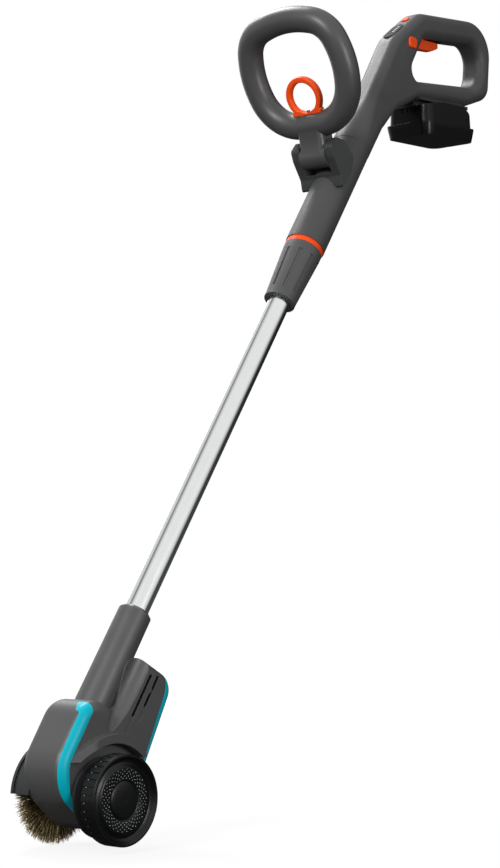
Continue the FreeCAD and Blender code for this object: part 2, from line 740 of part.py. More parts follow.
# Motor: its can lies along the shaft direction, straight above the axle

MOTOR = Placement(Vector(0, 0, float(d.wheel_radius)), SHAFT_TURN)
motor_end = d.motor_start + d.motor_length
can_wall = 1.8
turned("motor_can", [
    (d.motor_shaft_radius + d.running_fit, d.motor_start),
    (d.motor_radius, d.motor_start),
    (d.motor_radius, motor_end),
    (d.motor_shaft_radius + d.running_fit, motor_end),
    (d.motor_shaft_radius + d.running_fit, motor_end - can_wall),
    (d.motor_radius - can_wall, motor_end - can_wall),
    (d.motor_radius - can_wall, d.motor_start + can_wall),
    (d.motor_shaft_radius + d.running_fit, d.motor_start + can_wall),
], MOTOR)
shaft_end = 19.0
turned("motor_shaft", [
    (0, shaft_end),
    (d.motor_shaft_radius, shaft_end),
    (d.motor_shaft_radius, motor_end + can_wall),
    (0, motor_end + can_wall),
], MOTOR)
rotor_radius = 14.0
rotor_gap = 6.0
turned("motor_rotor", [
    (d.motor_shaft_radius + d.seat_gap / 2, d.motor_start + rotor_gap),
    (rotor_radius, d.motor_start + rotor_gap),
    (rotor_radius, motor_end - rotor_gap * 2),
    (rotor_radius / 2, motor_end - rotor_gap * 2),
    (rotor_radius / 2, motor_end - rotor_gap / 2),
    (d.motor_shaft_radius + d.seat_gap / 2, motor_end - rotor_gap / 2),
], MOTOR)
pinion_start = 21.0
pinion_end = 34.0
tooth_root_half = 1.3
tooth_tip_half = 0.5
pinion = new_body("drive_pinion", MOTOR)
pinion_sketch = sketch_in(pinion, "XY_Plane", "pinion_core")
pinion_sketch.AttachmentOffset = Placement(Vector(0, 0, pinion_start), Rotation())
draw_circle(pinion_sketch, 0, 0, pinion_root_radius)
draw_circle(pinion_sketch, 0, 0, d.motor_shaft_radius + d.seat_gap / 2)
pinion_core = pinion.newObject("PartDesign::Pad", "pinion_core_pad")
pinion_core.Profile = pinion_sketch
pinion_core.Length = pinion_end - pinion_start
pinion_tooth_sketch = sketch_in(pinion, "XY_Plane", "pinion_tooth")
pinion_tooth_sketch.AttachmentOffset = Placement(Vector(0, 0, pinion_start), Rotation())
tooth_foot = pinion_root_radius - tooth_tip_half
draw_outline(pinion_tooth_sketch, [
    (-tooth_foot, -tooth_root_half),
    (-pinion_tip_radius, -tooth_tip_half),
    (-pinion_tip_radius, tooth_tip_half),
    (-tooth_foot, tooth_root_half),
])
pinion_tooth = pinion.newObject("PartDesign::Pad", "pinion_tooth_pad")
pinion_tooth.Profile = pinion_tooth_sketch
pinion_tooth.Length = pinion_end - pinion_start
pinion_ring = pinion.newObject("PartDesign::PolarPattern", "pinion_ring")
pinion_ring.Originals = [pinion_tooth]
pinion_ring.Axis = (pinion_tooth_sketch, ["N_Axis"])
pinion_ring.Angle = 360
pinion_ring.Occurrences = int(float(d.pinion_teeth))
pinion.Tip = pinion_ring

# Motor mount: a plate across the casing that the can is screwed to
mount_half_height = 21.0
mount_thickness = 4.0
mount = doc.addObject("Part::Box", "mount_block")
bind(mount, "Length", d.case_far_half + d.case_near_half - (d.case_wall + d.seat_gap) * 2)
mount.Width = mount_half_height * 2
mount.Height = mount_thickness
mount.Placement = MOTOR.multiply(Placement(
    Vector(far_side + wall + seat, -mount_half_height, float(d.motor_start) - mount_thickness), Rotation()
))
mount_hole = doc.addObject("Part::Cylinder", "mount_bore")
bind(mount_hole, "Radius", d.motor_shaft_radius * 2)
mount_hole.Height = mount_thickness * 3
mount_hole.Placement = MOTOR.multiply(Placement(Vector(0, 0, float(d.motor_start) - mount_thickness * 2), Rotation()))
mount_cut = doc.addObject("Part::Cut", "motor_mount_plate")
mount_cut.Base = mount
mount_cut.Tool = mount_hole
kept(mount_cut, "motor_mount")

# Guide wheel: runs free on a stub that is screwed to the near wall

backing_radius = 46.0
backing_height = 2.6
stub_flange_radius = 15.0
stub_flange_height = 3.0
backing_place = Placement(Vector(near_side + seat, 0, float(d.wheel_radius)), ALONG_X)
turned("wheel_backing", [
    (d.wheel_bore_radius + d.seat_gap, 0),
    (backing_radius, 0),
    (backing_radius, backing_height / 2),
    (backing_radius - backing_height, backing_height),
    (d.wheel_bore_radius + d.seat_gap, backing_height),
], backing_place)
wheel_inner = d.wheel_outer_face - d.wheel_width
stub_radius = d.wheel_bore_radius - d.running_fit
hub_near_share = 0.62
hub_end = d.wheel_width * hub_near_share
stub_end = wheel_inner - d.case_near_half - d.seat_gap + hub_end
turned("wheel_stub", [
    (0, 0),
    (stub_radius, 0),
    (stub_radius, backing_height + seat),
    (stub_flange_radius, backing_height + seat),
    (stub_flange_radius, backing_height + seat + stub_flange_height),
    (stub_radius + backing_height / 2, backing_height + seat + stub_flange_height),
    (stub_radius + backing_height / 2, wheel_inner - d.case_near_half - d.seat_gap + backing_height / 2),
    (stub_radius, wheel_inner - d.case_near_half - d.seat_gap + backing_height / 2),
    (stub_radius, stub_end + d.seat_gap),
    (0, stub_end + d.seat_gap),
], backing_place)

wheel_place = Placement(Vector(float(wheel_inner), 0, float(d.wheel_radius)), ALONG_X)
cap_radius_share = 0.420
cap_seat = d.wheel_radius * cap_radius_share
cap_floor_share = 0.740
dish_share = 0.715
ring_share = 0.865
wheel = turned("wheel", [
    (d.wheel_bore_radius, d.wheel_wall / 2),
    (d.wheel_bore_radius * 2, d.wheel_wall / 2),
    (d.wheel_bore_radius * 2, d.wheel_width * 0.45),
    (d.wheel_radius - d.wheel_wall, d.wheel_width * 0.45),
    (d.wheel_radius - d.wheel_wall, 0),
    (d.wheel_radius - d.lug_depth, 0),
    (d.wheel_radius, d.lug_depth),
    (d.wheel_radius, d.wheel_width - d.lug_depth),
    (d.wheel_radius - d.lug_depth, d.wheel_width),
    (d.wheel_radius - d.lug_depth * 2.2, d.wheel_width),
    (d.wheel_radius - d.lug_depth * 3.0, d.wheel_width * 0.95),
    (d.wheel_radius * 0.875, d.wheel_width * 0.775),
    (d.wheel_radius * 0.825, d.wheel_width * dish_share),
    (d.wheel_radius * 0.770, d.wheel_width * 0.755),
    (d.wheel_radius * 0.720, d.wheel_width * 0.855),
    (d.wheel_radius * 0.700, d.wheel_width * ring_share),
    (cap_seat + d.wheel_wall * 0.4, d.wheel_width * ring_share),
    (cap_seat + d.seat_gap, d.wheel_width * 0.830),
    (cap_seat + d.seat_gap, d.wheel_width * cap_floor_share),
    (d.wheel_bore_radius * 2.2, d.wheel_width * cap_floor_share),
    (d.wheel_bore_radius * 2.2, hub_end),
    (d.wheel_bore_radius, hub_end),
], wheel_place)
notch_sketch = sketch_in(wheel, "XY_Plane", "tread_notch")
draw_outline(notch_sketch, [
    (d.wheel_radius - d.lug_depth, -d.lug_notch / 2),
    (d.wheel_radius + d.lug_depth, -d.lug_notch / 2),
    (d.wheel_radius + d.lug_depth, d.lug_notch / 2),
    (d.wheel_radius - d.lug_depth, d.lug_notch / 2),
])
notch = wheel.newObject("PartDesign::Pocket", "tread_notch_cut")
notch.Profile = notch_sketch
bind(notch, "Length", d.wheel_width * 0.86)
notch.Reversed = True
notches = wheel.newObject("PartDesign::PolarPattern", "tread_notches")
notches.Originals = [notch]
notches.Axis = (notch_sketch, ["N_Axis"])
notches.Angle = 360
notches.Occurrences = int(float(d.lug_count))
wheel.Tip = notches

cap_floor = d.wheel_width * cap_floor_share
cap_rise = 1.6
turned("hub_cap", [
    (0, cap_floor + d.seat_gap / 2),
    (cap_seat - d.seat_gap / 2, cap_floor + d.seat_gap / 2),
    (cap_seat - d.seat_gap / 2, d.wheel_width * 0.835),
    (cap_seat * 0.94, d.wheel_width * 0.880),
    (cap_seat * 0.80, d.wheel_width * 0.880 + cap_rise * 0.45),
    (cap_seat * 0.60, d.wheel_width * 0.880 + cap_rise * 0.75),
    (cap_seat * 0.35, d.wheel_width * 0.880 + cap_rise * 0.94),
    (0, d.wheel_width * 0.880 + cap_rise),
], wheel_place)
keeper_radius = 9.5
turned("wheel_keeper", [
    (0, stub_end + d.seat_gap * 1.5 + d.case_near_half - wheel_inner + d.seat_gap),
    (keeper_radius, stub_end + d.seat_gap * 1.5 + d.case_near_half - wheel_inner + d.seat_gap),
    (keeper_radius, cap_floor - d.seat_gap),
    (0, cap_floor - d.seat_gap),
], wheel_place)

# Telescope: the tube slides in a split sleeve, and turning the collar grips it

sleeve_top = d.barrel_start + d.flange_height + d.ring_height
flange_radius = d.barrel_radius - d.handle_wall - d.seat_gap
collet = turned("grip_sleeve", [
    (d.tube_radius + d.running_fit, d.sleeve_bottom),
    (d.sleeve_radius, d.sleeve_bottom),
    (d.sleeve_radius, d.barrel_start + d.ring_height),
    (flange_radius, d.barrel_start + d.ring_height),
    (flange_radius, sleeve_top),
    (d.tube_radius + d.running_fit, sleeve_top),
], SHAFT)
sleeve_slot = sketch_in(collet, "XZ_Plane", "sleeve_slot")
slot_length_share = 0.55
slot_top = d.sleeve_bottom + (d.barrel_start - d.sleeve_bottom) * slot_length_share
draw_outline(sleeve_slot, [
    (-d.sleeve_slot / 2, d.sleeve_bottom - d.ring_height),
    (d.sleeve_slot / 2, d.sleeve_bottom - d.ring_height),
    (d.sleeve_slot / 2, slot_top),
    (-d.sleeve_slot / 2, slot_top),
])
slot_cut = collet.newObject("PartDesign::Pocket", "sleeve_slot_cut")
slot_cut.Profile = sleeve_slot
slot_cut.Type = 1
slot_cut.Midplane = True

collar_lip = 5.0
collar_flare = 1.2
collar = turned("twist_collar", [
    (d.tube_radius + d.slide_gap * 2, d.collar_bottom),
    (d.collar_foot_radius + collar_flare, d.collar_bottom),
    (d.collar_foot_radius + collar_flare, d.collar_bottom + collar_lip),
    (d.collar_top_radius, d.collar_top - collar_lip),
    (d.collar_top_radius, d.collar_top),
    (d.sleeve_radius + d.slide_gap, d.collar_top),
    (d.sleeve_radius + d.slide_gap, d.collar_bottom + collar_lip),
    (d.tube_radius + d.slide_gap * 2, d.collar_bottom + collar_lip),
], SHAFT)
groove_depth = 1.3
groove_ends_share = 0.14
collar_length = d.collar_top - d.collar_bottom
groove_sketch = sketch_in(collar, "XZ_Plane", "collar_groove")
draw_outline(groove_sketch, [
    (-d.collar_groove / 2, d.collar_bottom + collar_length * groove_ends_share),
    (d.collar_groove / 2, d.collar_bottom + collar_length * groove_ends_share),
    (d.collar_groove / 2, d.collar_top - collar_length * groove_ends_share),
    (-d.collar_groove / 2, d.collar_top - collar_length * groove_ends_share),
])
# A slanted plane sets the grooves to one depth on the tapered collar
groove_lean = math.degrees(math.atan2(
    float(d.collar_top_radius - d.collar_foot_radius) - collar_flare, float(collar_length) - collar_lip * 2
))
groove_middle = float(d.collar_bottom + collar_length / 2)
groove_floor = float(d.collar_top_radius + d.collar_foot_radius + collar_flare) / 2 - groove_depth
groove_sketch.AttachmentOffset = Placement(
    Vector(0, 0, groove_floor), Rotation()
).multiply(Placement(Vector(0, 0, 0), Rotation(Vector(1, 0, 0), groove_lean), Vector(0, groove_middle, 0)))
groove = collar.newObject("PartDesign::Pocket", "collar_groove_cut")
groove.Profile = groove_sketch
bind(groove, "Length", d.collar_top_radius)
groove.Reversed = True
grooves = collar.newObject("PartDesign::PolarPattern", "collar_grooves")
grooves.Originals = [groove]
collar_axis = [item for item in collar.Origin.OriginFeatures if item.Role == "Z_Axis"][0]
grooves.Axis = (collar_axis, [""])
grooves.Angle = 360
grooves.Occurrences = int(float(d.collar_grooves))
collar.Tip = grooves

accent_inset = 1.2
turned("accent_ring", [
    (d.sleeve_radius + d.seat_gap, d.collar_top + d.slide_gap),
    (d.barrel_radius - accent_inset, d.collar_top + d.slide_gap),
    (d.barrel_radius - accent_inset, d.barrel_start),
    (d.sleeve_radius + d.seat_gap, d.barrel_start),
], SHAFT)

glide_groove = 0.6
turned("tube_glide", [
    (d.tube_radius + d.seat_gap / 2, d.tube_top - d.glide_length),
    (d.guide_bore - d.slide_gap, d.tube_top - d.glide_length),
    (d.guide_bore - d.slide_gap, d.tube_top - d.glide_length * 0.6),
    (d.guide_bore - d.slide_gap - glide_groove, d.tube_top - d.glide_length * 0.6),
    (d.guide_bore - d.slide_gap - glide_groove, d.tube_top - d.glide_length * 0.4),
    (d.guide_bore - d.slide_gap, d.tube_top - d.glide_length * 0.4),
    (d.guide_bore - d.slide_gap, d.tube_top),
    (d.tube_radius + d.seat_gap / 2, d.tube_top),
], SHAFT)

# Handle: two moulded halves, a barrel that swells into a closed grip

# The grip's side view and its hand hole from the end of the barrel: back, up and corner radius as shares of its length
GRIP_SHARES = [
    (0.170, 0.492, 0.300),
    (0.463, 0.716, 0.175),
    (1.338, 0.800, 0.240),
    (1.292, 0.236, 0.120),
    (1.023, 0.138, 0.200),
    (0.440, 0.094, 0.120),
    (0.185, -0.030, 0.150),
]
GRIP_HOLE_SHARES = [
    (0.510, 0.5435, 0.070),
    (1.192, 0.616, 0.120),
    (1.160, 0.296, 0.130),
    (0.305, 0.2085, 0.075),
]
grip_length = float(d.grip_length)
GRIP_START = on_shaft(0, 0, float(d.grip_start))
handle_wall = float(d.handle_wall)
barrel_radius = float(d.barrel_radius)
grip_half = float(d.grip_width) / 2
grip_front = float(d.grip_front)
grip_under = float(d.grip_under)


def grip_point(back_share, up_share, across=0.0):
    """Give the place of a point on the grip from its shares."""
    return GRIP_START + Vector(across, back_share * grip_length, up_share * grip_length)


def grip_corners(shares):
    """Turn shares of the grip's length into side-view corners."""
    corners = []
    for back_share, up_share, radius_share in shares:
        place = grip_point(back_share, up_share)
        corners.append((place.y, place.z, radius_share * grip_length))
    return corners


def rounded_section(half_across, front, under, corner, along):
    """Draw a rounded rectangle square to the shaft."""
    wire = rounded_wire([
        (Vector(-half_across, -front, along), corner),
        (Vector(half_across, -front, along), corner),
        (Vector(half_across, under, along), corner),
        (Vector(-half_across, under, along), corner),
    ])
    wire.Placement = SHAFT.multiply(wire.Placement)
    return wire


def handle_body(inset):
    """Fill the handle up to a distance below its skin."""
    grip_foot = float(d.grip_start) - float(d.grip_lap)
    front = on_shaft(0, -grip_front, grip_foot)
    back = on_shaft(0, grip_under, grip_foot)
    outer = [(front.y, front.z, 0.0)] + grip_corners(GRIP_SHARES) + [(back.y, back.z, 0.0)]
    edge = Part.Face(rounded_wire([(Vector(0, y, z), radius) for y, z, radius in outer]))
    hole = Part.Face(rounded_wire([(Vector(0, y, z), radius) for y, z, radius in grip_corners(GRIP_HOLE_SHARES)]))
    if inset:
        edge = edge.makeOffset2D(-inset)
        hole = hole.makeOffset2D(inset)
    face = edge.cut(hole).Faces[0]
    rounding = float(d.grip_round) - inset
    slab = side_slab(face, inset - grip_half, grip_half - inset)
    grip = slab.makeFillet(rounding, rim_edges(slab, inset - grip_half, grip_half - inset))
    radius = barrel_radius - inset
    # The swell starts a little proud of the barrel
    foot = radius + float(d.seat_gap) * 2
    near_round = foot - handle_wall / 10
    end_round = float(d.swell_round) - inset
    swell_start = float(d.grip_start) - float(d.swell_length)
    swell_end = float(d.grip_start)
    sections = [
        rounded_section(foot, foot, foot, near_round, swell_start),
        rounded_section(foot, foot, foot, near_round, swell_start + handle_wall * 4),
        rounded_section(grip_half - inset, grip_front - inset, grip_under - inset, end_round, swell_end),
        rounded_section(
            grip_half - inset, grip_front - inset, grip_under - inset, end_round, swell_end + handle_wall * 2
        ),
    ]
    swell = Part.makeLoft(sections, True, False)
    barrel = shaft_cone(radius, radius, float(d.barrel_start), swell_start + handle_wall)
    return barrel.fuse([swell, grip])


handle_outer = handle_body(0.0)
handle_inner = handle_body(handle_wall)
handle_shell = handle_outer.cut(handle_inner)

# Working parts of the grip are placed on its side view
RIDGE_LEAN = math.atan2(GRIP_SHARES[1][1] - GRIP_SHARES[0][1], GRIP_SHARES[1][0] - GRIP_SHARES[0][0])


def on_ridge(back_share, up_share):
    """Give a frame on the grip's sloping front ridge, with Z out of the skin."""
    return Placement(grip_point(back_share, up_share), Rotation(Vector(1, 0, 0), math.degrees(RIDGE_LEAN)))


def oval_block(half_across, half_along, low, high, place):
    """Make a block with a long rounded outline."""
    corner = min(half_across, half_along) * 0.98
    wire = rounded_wire([
        (Vector(-half_across, -half_along, low), corner),
        (Vector(half_across, -half_along, low), corner),
        (Vector(half_across, half_along, low), corner),
        (Vector(-half_across, half_along, low), corner),
    ])
    block = Part.Face(wire).extrude(Vector(0, 0, high - low))
    block.Placement = place.multiply(block.Placement)
    return block


def placed_box(half_across, along_low, along_high, low, high, place):
    """Make a box about the middle plane of a frame."""
    box = Part.makeBox(half_across * 2, along_high - along_low, high - low, Vector(-half_across, along_low, low))
    box.Placement = place.multiply(box.Placement)
    return box


slide = float(d.slide_gap)

# Charge display: a dark oval plate with four lenses, and a board below it
panel_half_across = 9.5
panel_half_along = 20.0
panel_proud = 0.5
panel_thickness = 3.0
panel_leg = 6.0
leg_half = 1.5
PANEL_SHARE = (0.250, 0.5545)
panel_place = on_ridge(*PANEL_SHARE)
lens_radius = 1.5
lens_pitch = 5.0
lens_across = 2.5
lens_proud = 0.3
panel = oval_block(panel_half_across, panel_half_along, panel_proud - panel_thickness, panel_proud, panel_place)
for side in (-1, 1):
    leg = placed_box(
        leg_half, side * panel_half_along / 2 - leg_half, side * panel_half_along / 2 + leg_half,
        panel_proud - panel_thickness - panel_leg, panel_proud - panel_thickness, panel_place
    )
    panel = panel.fuse(leg)
lenses = []
for step in range(4):
    foot = Vector(lens_across, (step - 0.5) * lens_pitch - lens_pitch / 4, panel_proud - panel_thickness)
    lens = Part.makeCylinder(lens_radius, panel_thickness + lens_proud, foot, Vector(0, 0, 1))
    lens.Placement = panel_place.multiply(lens.Placement)
    lenses.append(lens)
shaped("charge_panel", panel.cut(lenses))
shaped("charge_lenses", Part.makeCompound(lenses))
board_half_across = 11.0
board_thickness = 1.6
board_low = panel_proud - panel_thickness - panel_leg - board_thickness
board = placed_box(
    board_half_across, -panel_half_along, panel_half_along, board_low, board_low + board_thickness, panel_place
)
chip = placed_box(
    board_half_across / 2, -panel_half_along / 3, panel_half_along / 3, board_low - board_thickness, board_low,
    panel_place
)
shaped("control_board", board.fuse(chip))
panel_hole = oval_block(
    panel_half_across + seat, panel_half_along + seat, -panel_thickness * 2, panel_thickness * 2, panel_place
)

# Power button on the ridge
BUTTON_SHARE = (0.390, 0.660)
button_place = on_ridge(*BUTTON_SHARE)
button_half_across = 6.0
button_half_along = 4.5
button_proud = 1.8
button_depth = 7.0
button_flange = 1.5
button = oval_block(button_half_across, button_half_along, -button_depth, button_proud, button_place)
button = button.fuse(oval_block(
    button_half_across + button_flange, button_half_along + button_flange, -button_depth,
    -handle_wall - button_flange, button_place
))
shaped("power_button", button)
button_hole = oval_block(
    button_half_across + slide, button_half_along + slide, -button_depth, button_proud * 3, button_place
)

# Trigger: a lever on a pin behind the front of the hand hole
TRIGGER_SHARES = [
    (0.425, 0.615, 0.022),
    (0.435, 0.485, 0.018),
    (0.530, 0.470, 0.025),
    (0.665, 0.482, 0.040),
    (0.742, 0.515, 0.018),
    (0.738, 0.552, 0.012),
    (0.560, 0.550, 0.030),
    (0.520, 0.615, 0.022),
]
PIVOT_SHARE = (0.468, 0.576)
trigger_half = 5.5
pin_radius = 1.5
pin_boss_radius = 4.2
pivot = grip_point(*PIVOT_SHARE)
trigger_face = side_face(grip_corners(TRIGGER_SHARES))
trigger = soft_slab(trigger_face, -trigger_half, trigger_half, button_flange)
trigger = trigger.cut(across_bar(pin_radius + float(d.running_fit), -over, over, pivot))
pin_half = grip_half - handle_wall
trigger_pin = across_bar(pin_radius, -pin_half, pin_half, pivot)
spring_wire = 0.9
spring_radius = pin_radius + slide + spring_wire / 2
spring_pitch = 1.15
spring_turns = 3


def coil(radius, wire, pitch, turns, place):
    """Wind a spring about the Z axis of a frame, as arcs of a quarter turn."""
    steps = turns * 4
    arcs = []
    for step in range(steps):
        points = []
        for part in (0.0, 0.5, 1.0):
            angle = (step + part) * math.pi / 2
            points.append(Vector(
                radius * math.cos(angle), radius * math.sin(angle), pitch * angle / (2 * math.pi)
            ))
        arcs.append(Part.Arc(*points).toShape())
    path = Part.Wire(arcs)
    start = arcs[0].valueAt(arcs[0].FirstParameter)
    ahead = arcs[0].tangentAt(arcs[0].FirstParameter)
    section = Part.Wire(Part.makeCircle(wire / 2, start, ahead))
    spring = path.makePipeShell([section], True, False)
    spring.Placement = place.multiply(spring.Placement)
    return spring


spring_start = -trigger_half - slide - spring_pitch * spring_turns - spring_wire
spring_place = Placement(Vector(spring_start, pivot.y, pivot.z), ALONG_X)
shaped("trigger", trigger)
shaped("trigger_pin", trigger_pin)
shaped("trigger_spring", coil(spring_radius, spring_wire, spring_pitch, spring_turns, spring_place))
TRIGGER_SLOT_SHARES = [
    (0.405, 0.635, 0.010),
    (0.405, 0.450, 0.010),
    (0.785, 0.450, 0.010),
    (0.785, 0.640, 0.010),
]
trigger_slot = side_slab(
    side_face(grip_corners(TRIGGER_SLOT_SHARES)), -trigger_half - slide, trigger_half + slide
)
pin_bosses = across_bar(
    pin_boss_radius, -pin_half - handle_wall / 2, spring_start - spring_wire / 2 - slide, pivot
)
pin_bosses = pin_bosses.fuse(
    across_bar(pin_boss_radius, trigger_half + slide, pin_half + handle_wall / 2, pivot)
)
pin_bore = across_bar(pin_radius + seat / 2, -pin_half, pin_half, pivot)

# Switch above the trigger, with its plunger down
SWITCH_SHARES = [
    (0.610, 0.650, 0.008),
    (0.770, 0.650, 0.008),
    (0.770, 0.7300, 0.008),
    (0.610, 0.7150, 0.008),
]
switch_half = 6.0
plunger_radius = 2.0
plunger_length = 5.0
PLUNGER_SHARE = (0.690, 0.650)
plunger = Part.makeCylinder(
    plunger_radius, plunger_length, grip_point(*PLUNGER_SHARE) - Vector(0, 0, plunger_length), Vector(0, 0, 1)
)
switch = soft_slab(side_face(grip_corners(SWITCH_SHARES)), -switch_half, switch_half, spring_wire / 2)
shaped("trigger_switch", switch.fuse(plunger))

# Lock button: pressed from the side before the trigger moves
LOCK_SHARES = [
    (0.300, 0.435, 0.025),
    (0.386, 0.435, 0.025),
    (0.386, 0.512, 0.025),
    (0.300, 0.512, 0.025),
]
LOCK_CENTRE_SHARE = (0.343, 0.4715)
lock_proud = 2.3
lock_depth = 9.0
lock_stem_radius = 4.0
lock_spring_wire = 1.0
lock_centre = grip_point(*LOCK_CENTRE_SHARE)
lock_face = side_face(grip_corners(LOCK_SHARES))
lock_head = soft_slab(lock_face, grip_half - lock_depth, grip_half + lock_proud, button_flange)
lock_stem = across_bar(lock_stem_radius, -lock_depth, grip_half - lock_depth, lock_centre)
shaped("lock_button", lock_head.fuse(lock_stem))
lock_hole = side_slab(side_face(grip_corners(LOCK_SHARES), -slide), handle_wall * 2, grip_half + over)
lock_collar_radius = lock_stem_radius + slide
lock_post = across_bar(lock_collar_radius + handle_wall, -grip_half + handle_wall / 2, -lock_depth / 3, lock_centre)
lock_post = lock_post.cut(across_bar(lock_collar_radius, -grip_half + handle_wall, over, lock_centre))
lock_spring_start = -grip_half + handle_wall + lock_spring_wire / 2 + slide
lock_spring_place = Placement(Vector(lock_spring_start, lock_centre.y, lock_centre.z), ALONG_X)
shaped("lock_spring", coil(
    lock_stem_radius - lock_spring_wire, lock_spring_wire, lock_spring_wire * 1.3, 3, lock_spring_place
))

# Guide pipe inside the barrel, with webs that hold it in the handle
guide_wall = 1.8
guide_start = float(sleeve_top) + seat
guide_bore = float(d.guide_bore)
guide = shaft_cone(guide_bore + guide_wall, guide_bore + guide_wall, guide_start, float(d.grip_start))
web_radius = barrel_radius - handle_wall - seat
for share in (0.06, 0.34, 0.62):
    web_start = guide_start + share * (float(d.grip_start) - guide_start)
    guide = guide.fuse(shaft_cone(web_radius, web_radius, web_start, web_start + handle_wall))
guide = guide.cut(shaft_cone(guide_bore, guide_bore, guide_start - over, float(d.grip_start) + over))
shaped("guide_pipe", guide)
guide_room = shaft_cone(
    guide_bore + guide_wall + seat, guide_bore + guide_wall + seat,
    float(d.grip_start) - float(d.swell_length), float(d.grip_start) + seat
)

# Screws that close the handle from its far side
HANDLE_SCREW_SHARES = [(0.238, 0.371), (1.263, 0.471), (0.938, 0.696), (1.088, 0.216), (0.113, 0.156)]
handle_places = [grip_point(back, up) for back, up in HANDLE_SCREW_SHARES]
handle_posts = [
    across_bar(screw_post_radius, handle_wall / 2 - grip_half, grip_half - handle_wall / 2, place)
    for place in handle_places
]
handle_screw_holes = []
handle_screws = []
for place in handle_places:
    handle_screw_holes.append(across_bar(screw_radius + seat, -over, grip_half - handle_wall * 2, place))
    handle_screw_holes.append(
        across_bar(screw_head_radius + seat, -over, screw_head_height - grip_half, place)
    )
    bar = across_bar(screw_radius, screw_head_height / 2 - grip_half, grip_half - handle_wall * 3, place)
    cap = across_bar(screw_head_radius, seat - grip_half, screw_head_height - seat / 2 - grip_half, place)
    handle_screws.append(bar.fuse(cap))
shaped("handle_screws", Part.makeCompound(handle_screws))

# Battery: slides on below the grip from behind

BATTERY_SHARE = (0.685, -0.162)
battery_place = Placement(grip_point(*BATTERY_SHARE), Rotation(Vector(1, 0, 0), float(d.battery_pitch)))
pack_half = float(d.battery_length) / 2
pack_width = float(d.battery_width) / 2
pack_height = float(d.battery_height)
pack_split = float(d.battery_split)
pack_wall = float(d.battery_wall)
upper_inset = 4.0
upper_draft = 1.0
lower_draft = 2.5
pack_round = 13.0
chamfer_along = 22.0
chamfer_down = 14.0


def pack_taper(low_inset, high_inset, low, high, corner):
    """Make a rounded block whose sides lean in."""
    wires = []
    for level, extra in ((low, low_inset), (high, high_inset)):
        wires.append(rounded_wire([
            (Vector(extra - pack_width, extra - pack_half, level), corner),
            (Vector(pack_width - extra, extra - pack_half, level), corner),
            (Vector(pack_width - extra, pack_half - extra, level), corner),
            (Vector(extra - pack_width, pack_half - extra, level), corner),
        ]))
    return Part.makeLoft(wires, True, True)


def upper_pack(inset):
    """Fill the upper half of the battery up to a distance below its skin."""
    low = pack_split - inset * 4
    block = pack_taper(
        upper_inset - upper_draft + inset, upper_inset + inset, low, pack_height - inset, pack_round - inset
    )
    lean = math.atan2(chamfer_down, chamfer_along)
    reach = inset / math.cos(lean)
    corner = Vector(-pack_width * 2, pack_half - upper_inset, pack_height - chamfer_down - reach)
    chamfer = Part.Face(Part.makePolygon([
        corner + Vector(0, chamfer_along, -chamfer_down),
        corner + Vector(0, chamfer_along, chamfer_down * 3),
        corner + Vector(0, -chamfer_along * 2, chamfer_down * 3),
        corner + Vector(0, -chamfer_along * 2, chamfer_down * 2),
        corner + Vector(0, chamfer_along, -chamfer_down),
    ])).extrude(Vector(pack_width * 4, 0, 0))
    slope_along = float(d.battery_slope)
    slope_down = float(d.battery_drop)
    slope_reach = inset / math.cos(math.atan2(slope_down, slope_along))
    corner = Vector(-pack_width * 2, -pack_half, pack_height - slope_down - slope_reach)
    slope = Part.Face(Part.makePolygon([
        corner + Vector(0, -slope_along, -slope_down),
        corner + Vector(0, slope_along * 2, slope_down * 2),
        corner + Vector(0, slope_along * 2, slope_down * 4),
        corner + Vector(0, -slope_along, slope_down * 4),
        corner + Vector(0, -slope_along, -slope_down),
    ])).extrude(Vector(pack_width * 4, 0, 0))
    return block.cut([chamfer, slope])


def pack_box(half_across, along_low, along_high, low, high, across=0.0):
    """Make a box in the battery's own frame."""
    corner = Vector(across - half_across, along_low, low)
    return Part.makeBox(half_across * 2, along_high - along_low, high - low, corner)


def on_battery(shape):
    """Set a shape made in the battery's own frame in place."""
    shape.Placement = battery_place.multiply(shape.Placement)
    return shape


rail_neck_half = 13.7
rail_neck_height = 5.0
rail_flange_half = 17.7
rail_flange_height = 3.0
groove_bottom = pack_height - rail_neck_height - rail_flange_height - slide * 2
groove_end = pack_half * 0.5
groove = pack_box(
    rail_neck_half + slide, -pack_half - over, groove_end, groove_bottom, pack_height + over
).fuse(pack_box(
    rail_flange_half + slide, -pack_half - over, groove_end, groove_bottom, pack_height - rail_neck_height
))
liner_half = rail_flange_half + slide + pack_wall
liner = pack_box(
    liner_half, -pack_half, groove_end + pack_wall, groove_bottom - pack_wall, pack_height - pack_wall / 2
)
blade_half = 0.5
blade_slot_half = 1.2
blade_height = 6.0
blade_pitch = 9.0
blade_start = -pack_half * 0.5
blade_end = -pack_half * 0.15
slot_floor = groove_bottom - blade_height - slide
blade_slots = [
    pack_box(blade_slot_half, -pack_half - over, groove_end * 0.5, slot_floor, groove_bottom + slide, step * blade_pitch)
    for step in (-1, 0, 1)
]
contact_half = blade_pitch * 1.5
contact_start = -pack_half + float(d.battery_slope) * 0.42
contact_block = pack_box(
    contact_half, contact_start + seat, groove_end * 0.5 + pack_wall, slot_floor - pack_wall / 2,
    groove_bottom - pack_wall
)
upper_shell = upper_pack(0.0).cut(upper_pack(pack_wall)).fuse(liner.common(upper_pack(0.0)))
upper_shell = upper_shell.cut([groove] + blade_slots)
latch_half = 14.0
latch_start = pack_half * 0.62
latch_window = pack_box(latch_half + slide, latch_start, pack_half + over, pack_split + pack_wall * 2, pack_height)
latch_window = latch_window.common(pack_box(
    latch_half + slide, pack_half - upper_inset * 3, pack_half + over, pack_split + pack_wall * 3,
    pack_height - chamfer_down
))
upper_shell = upper_shell.cut(latch_window)
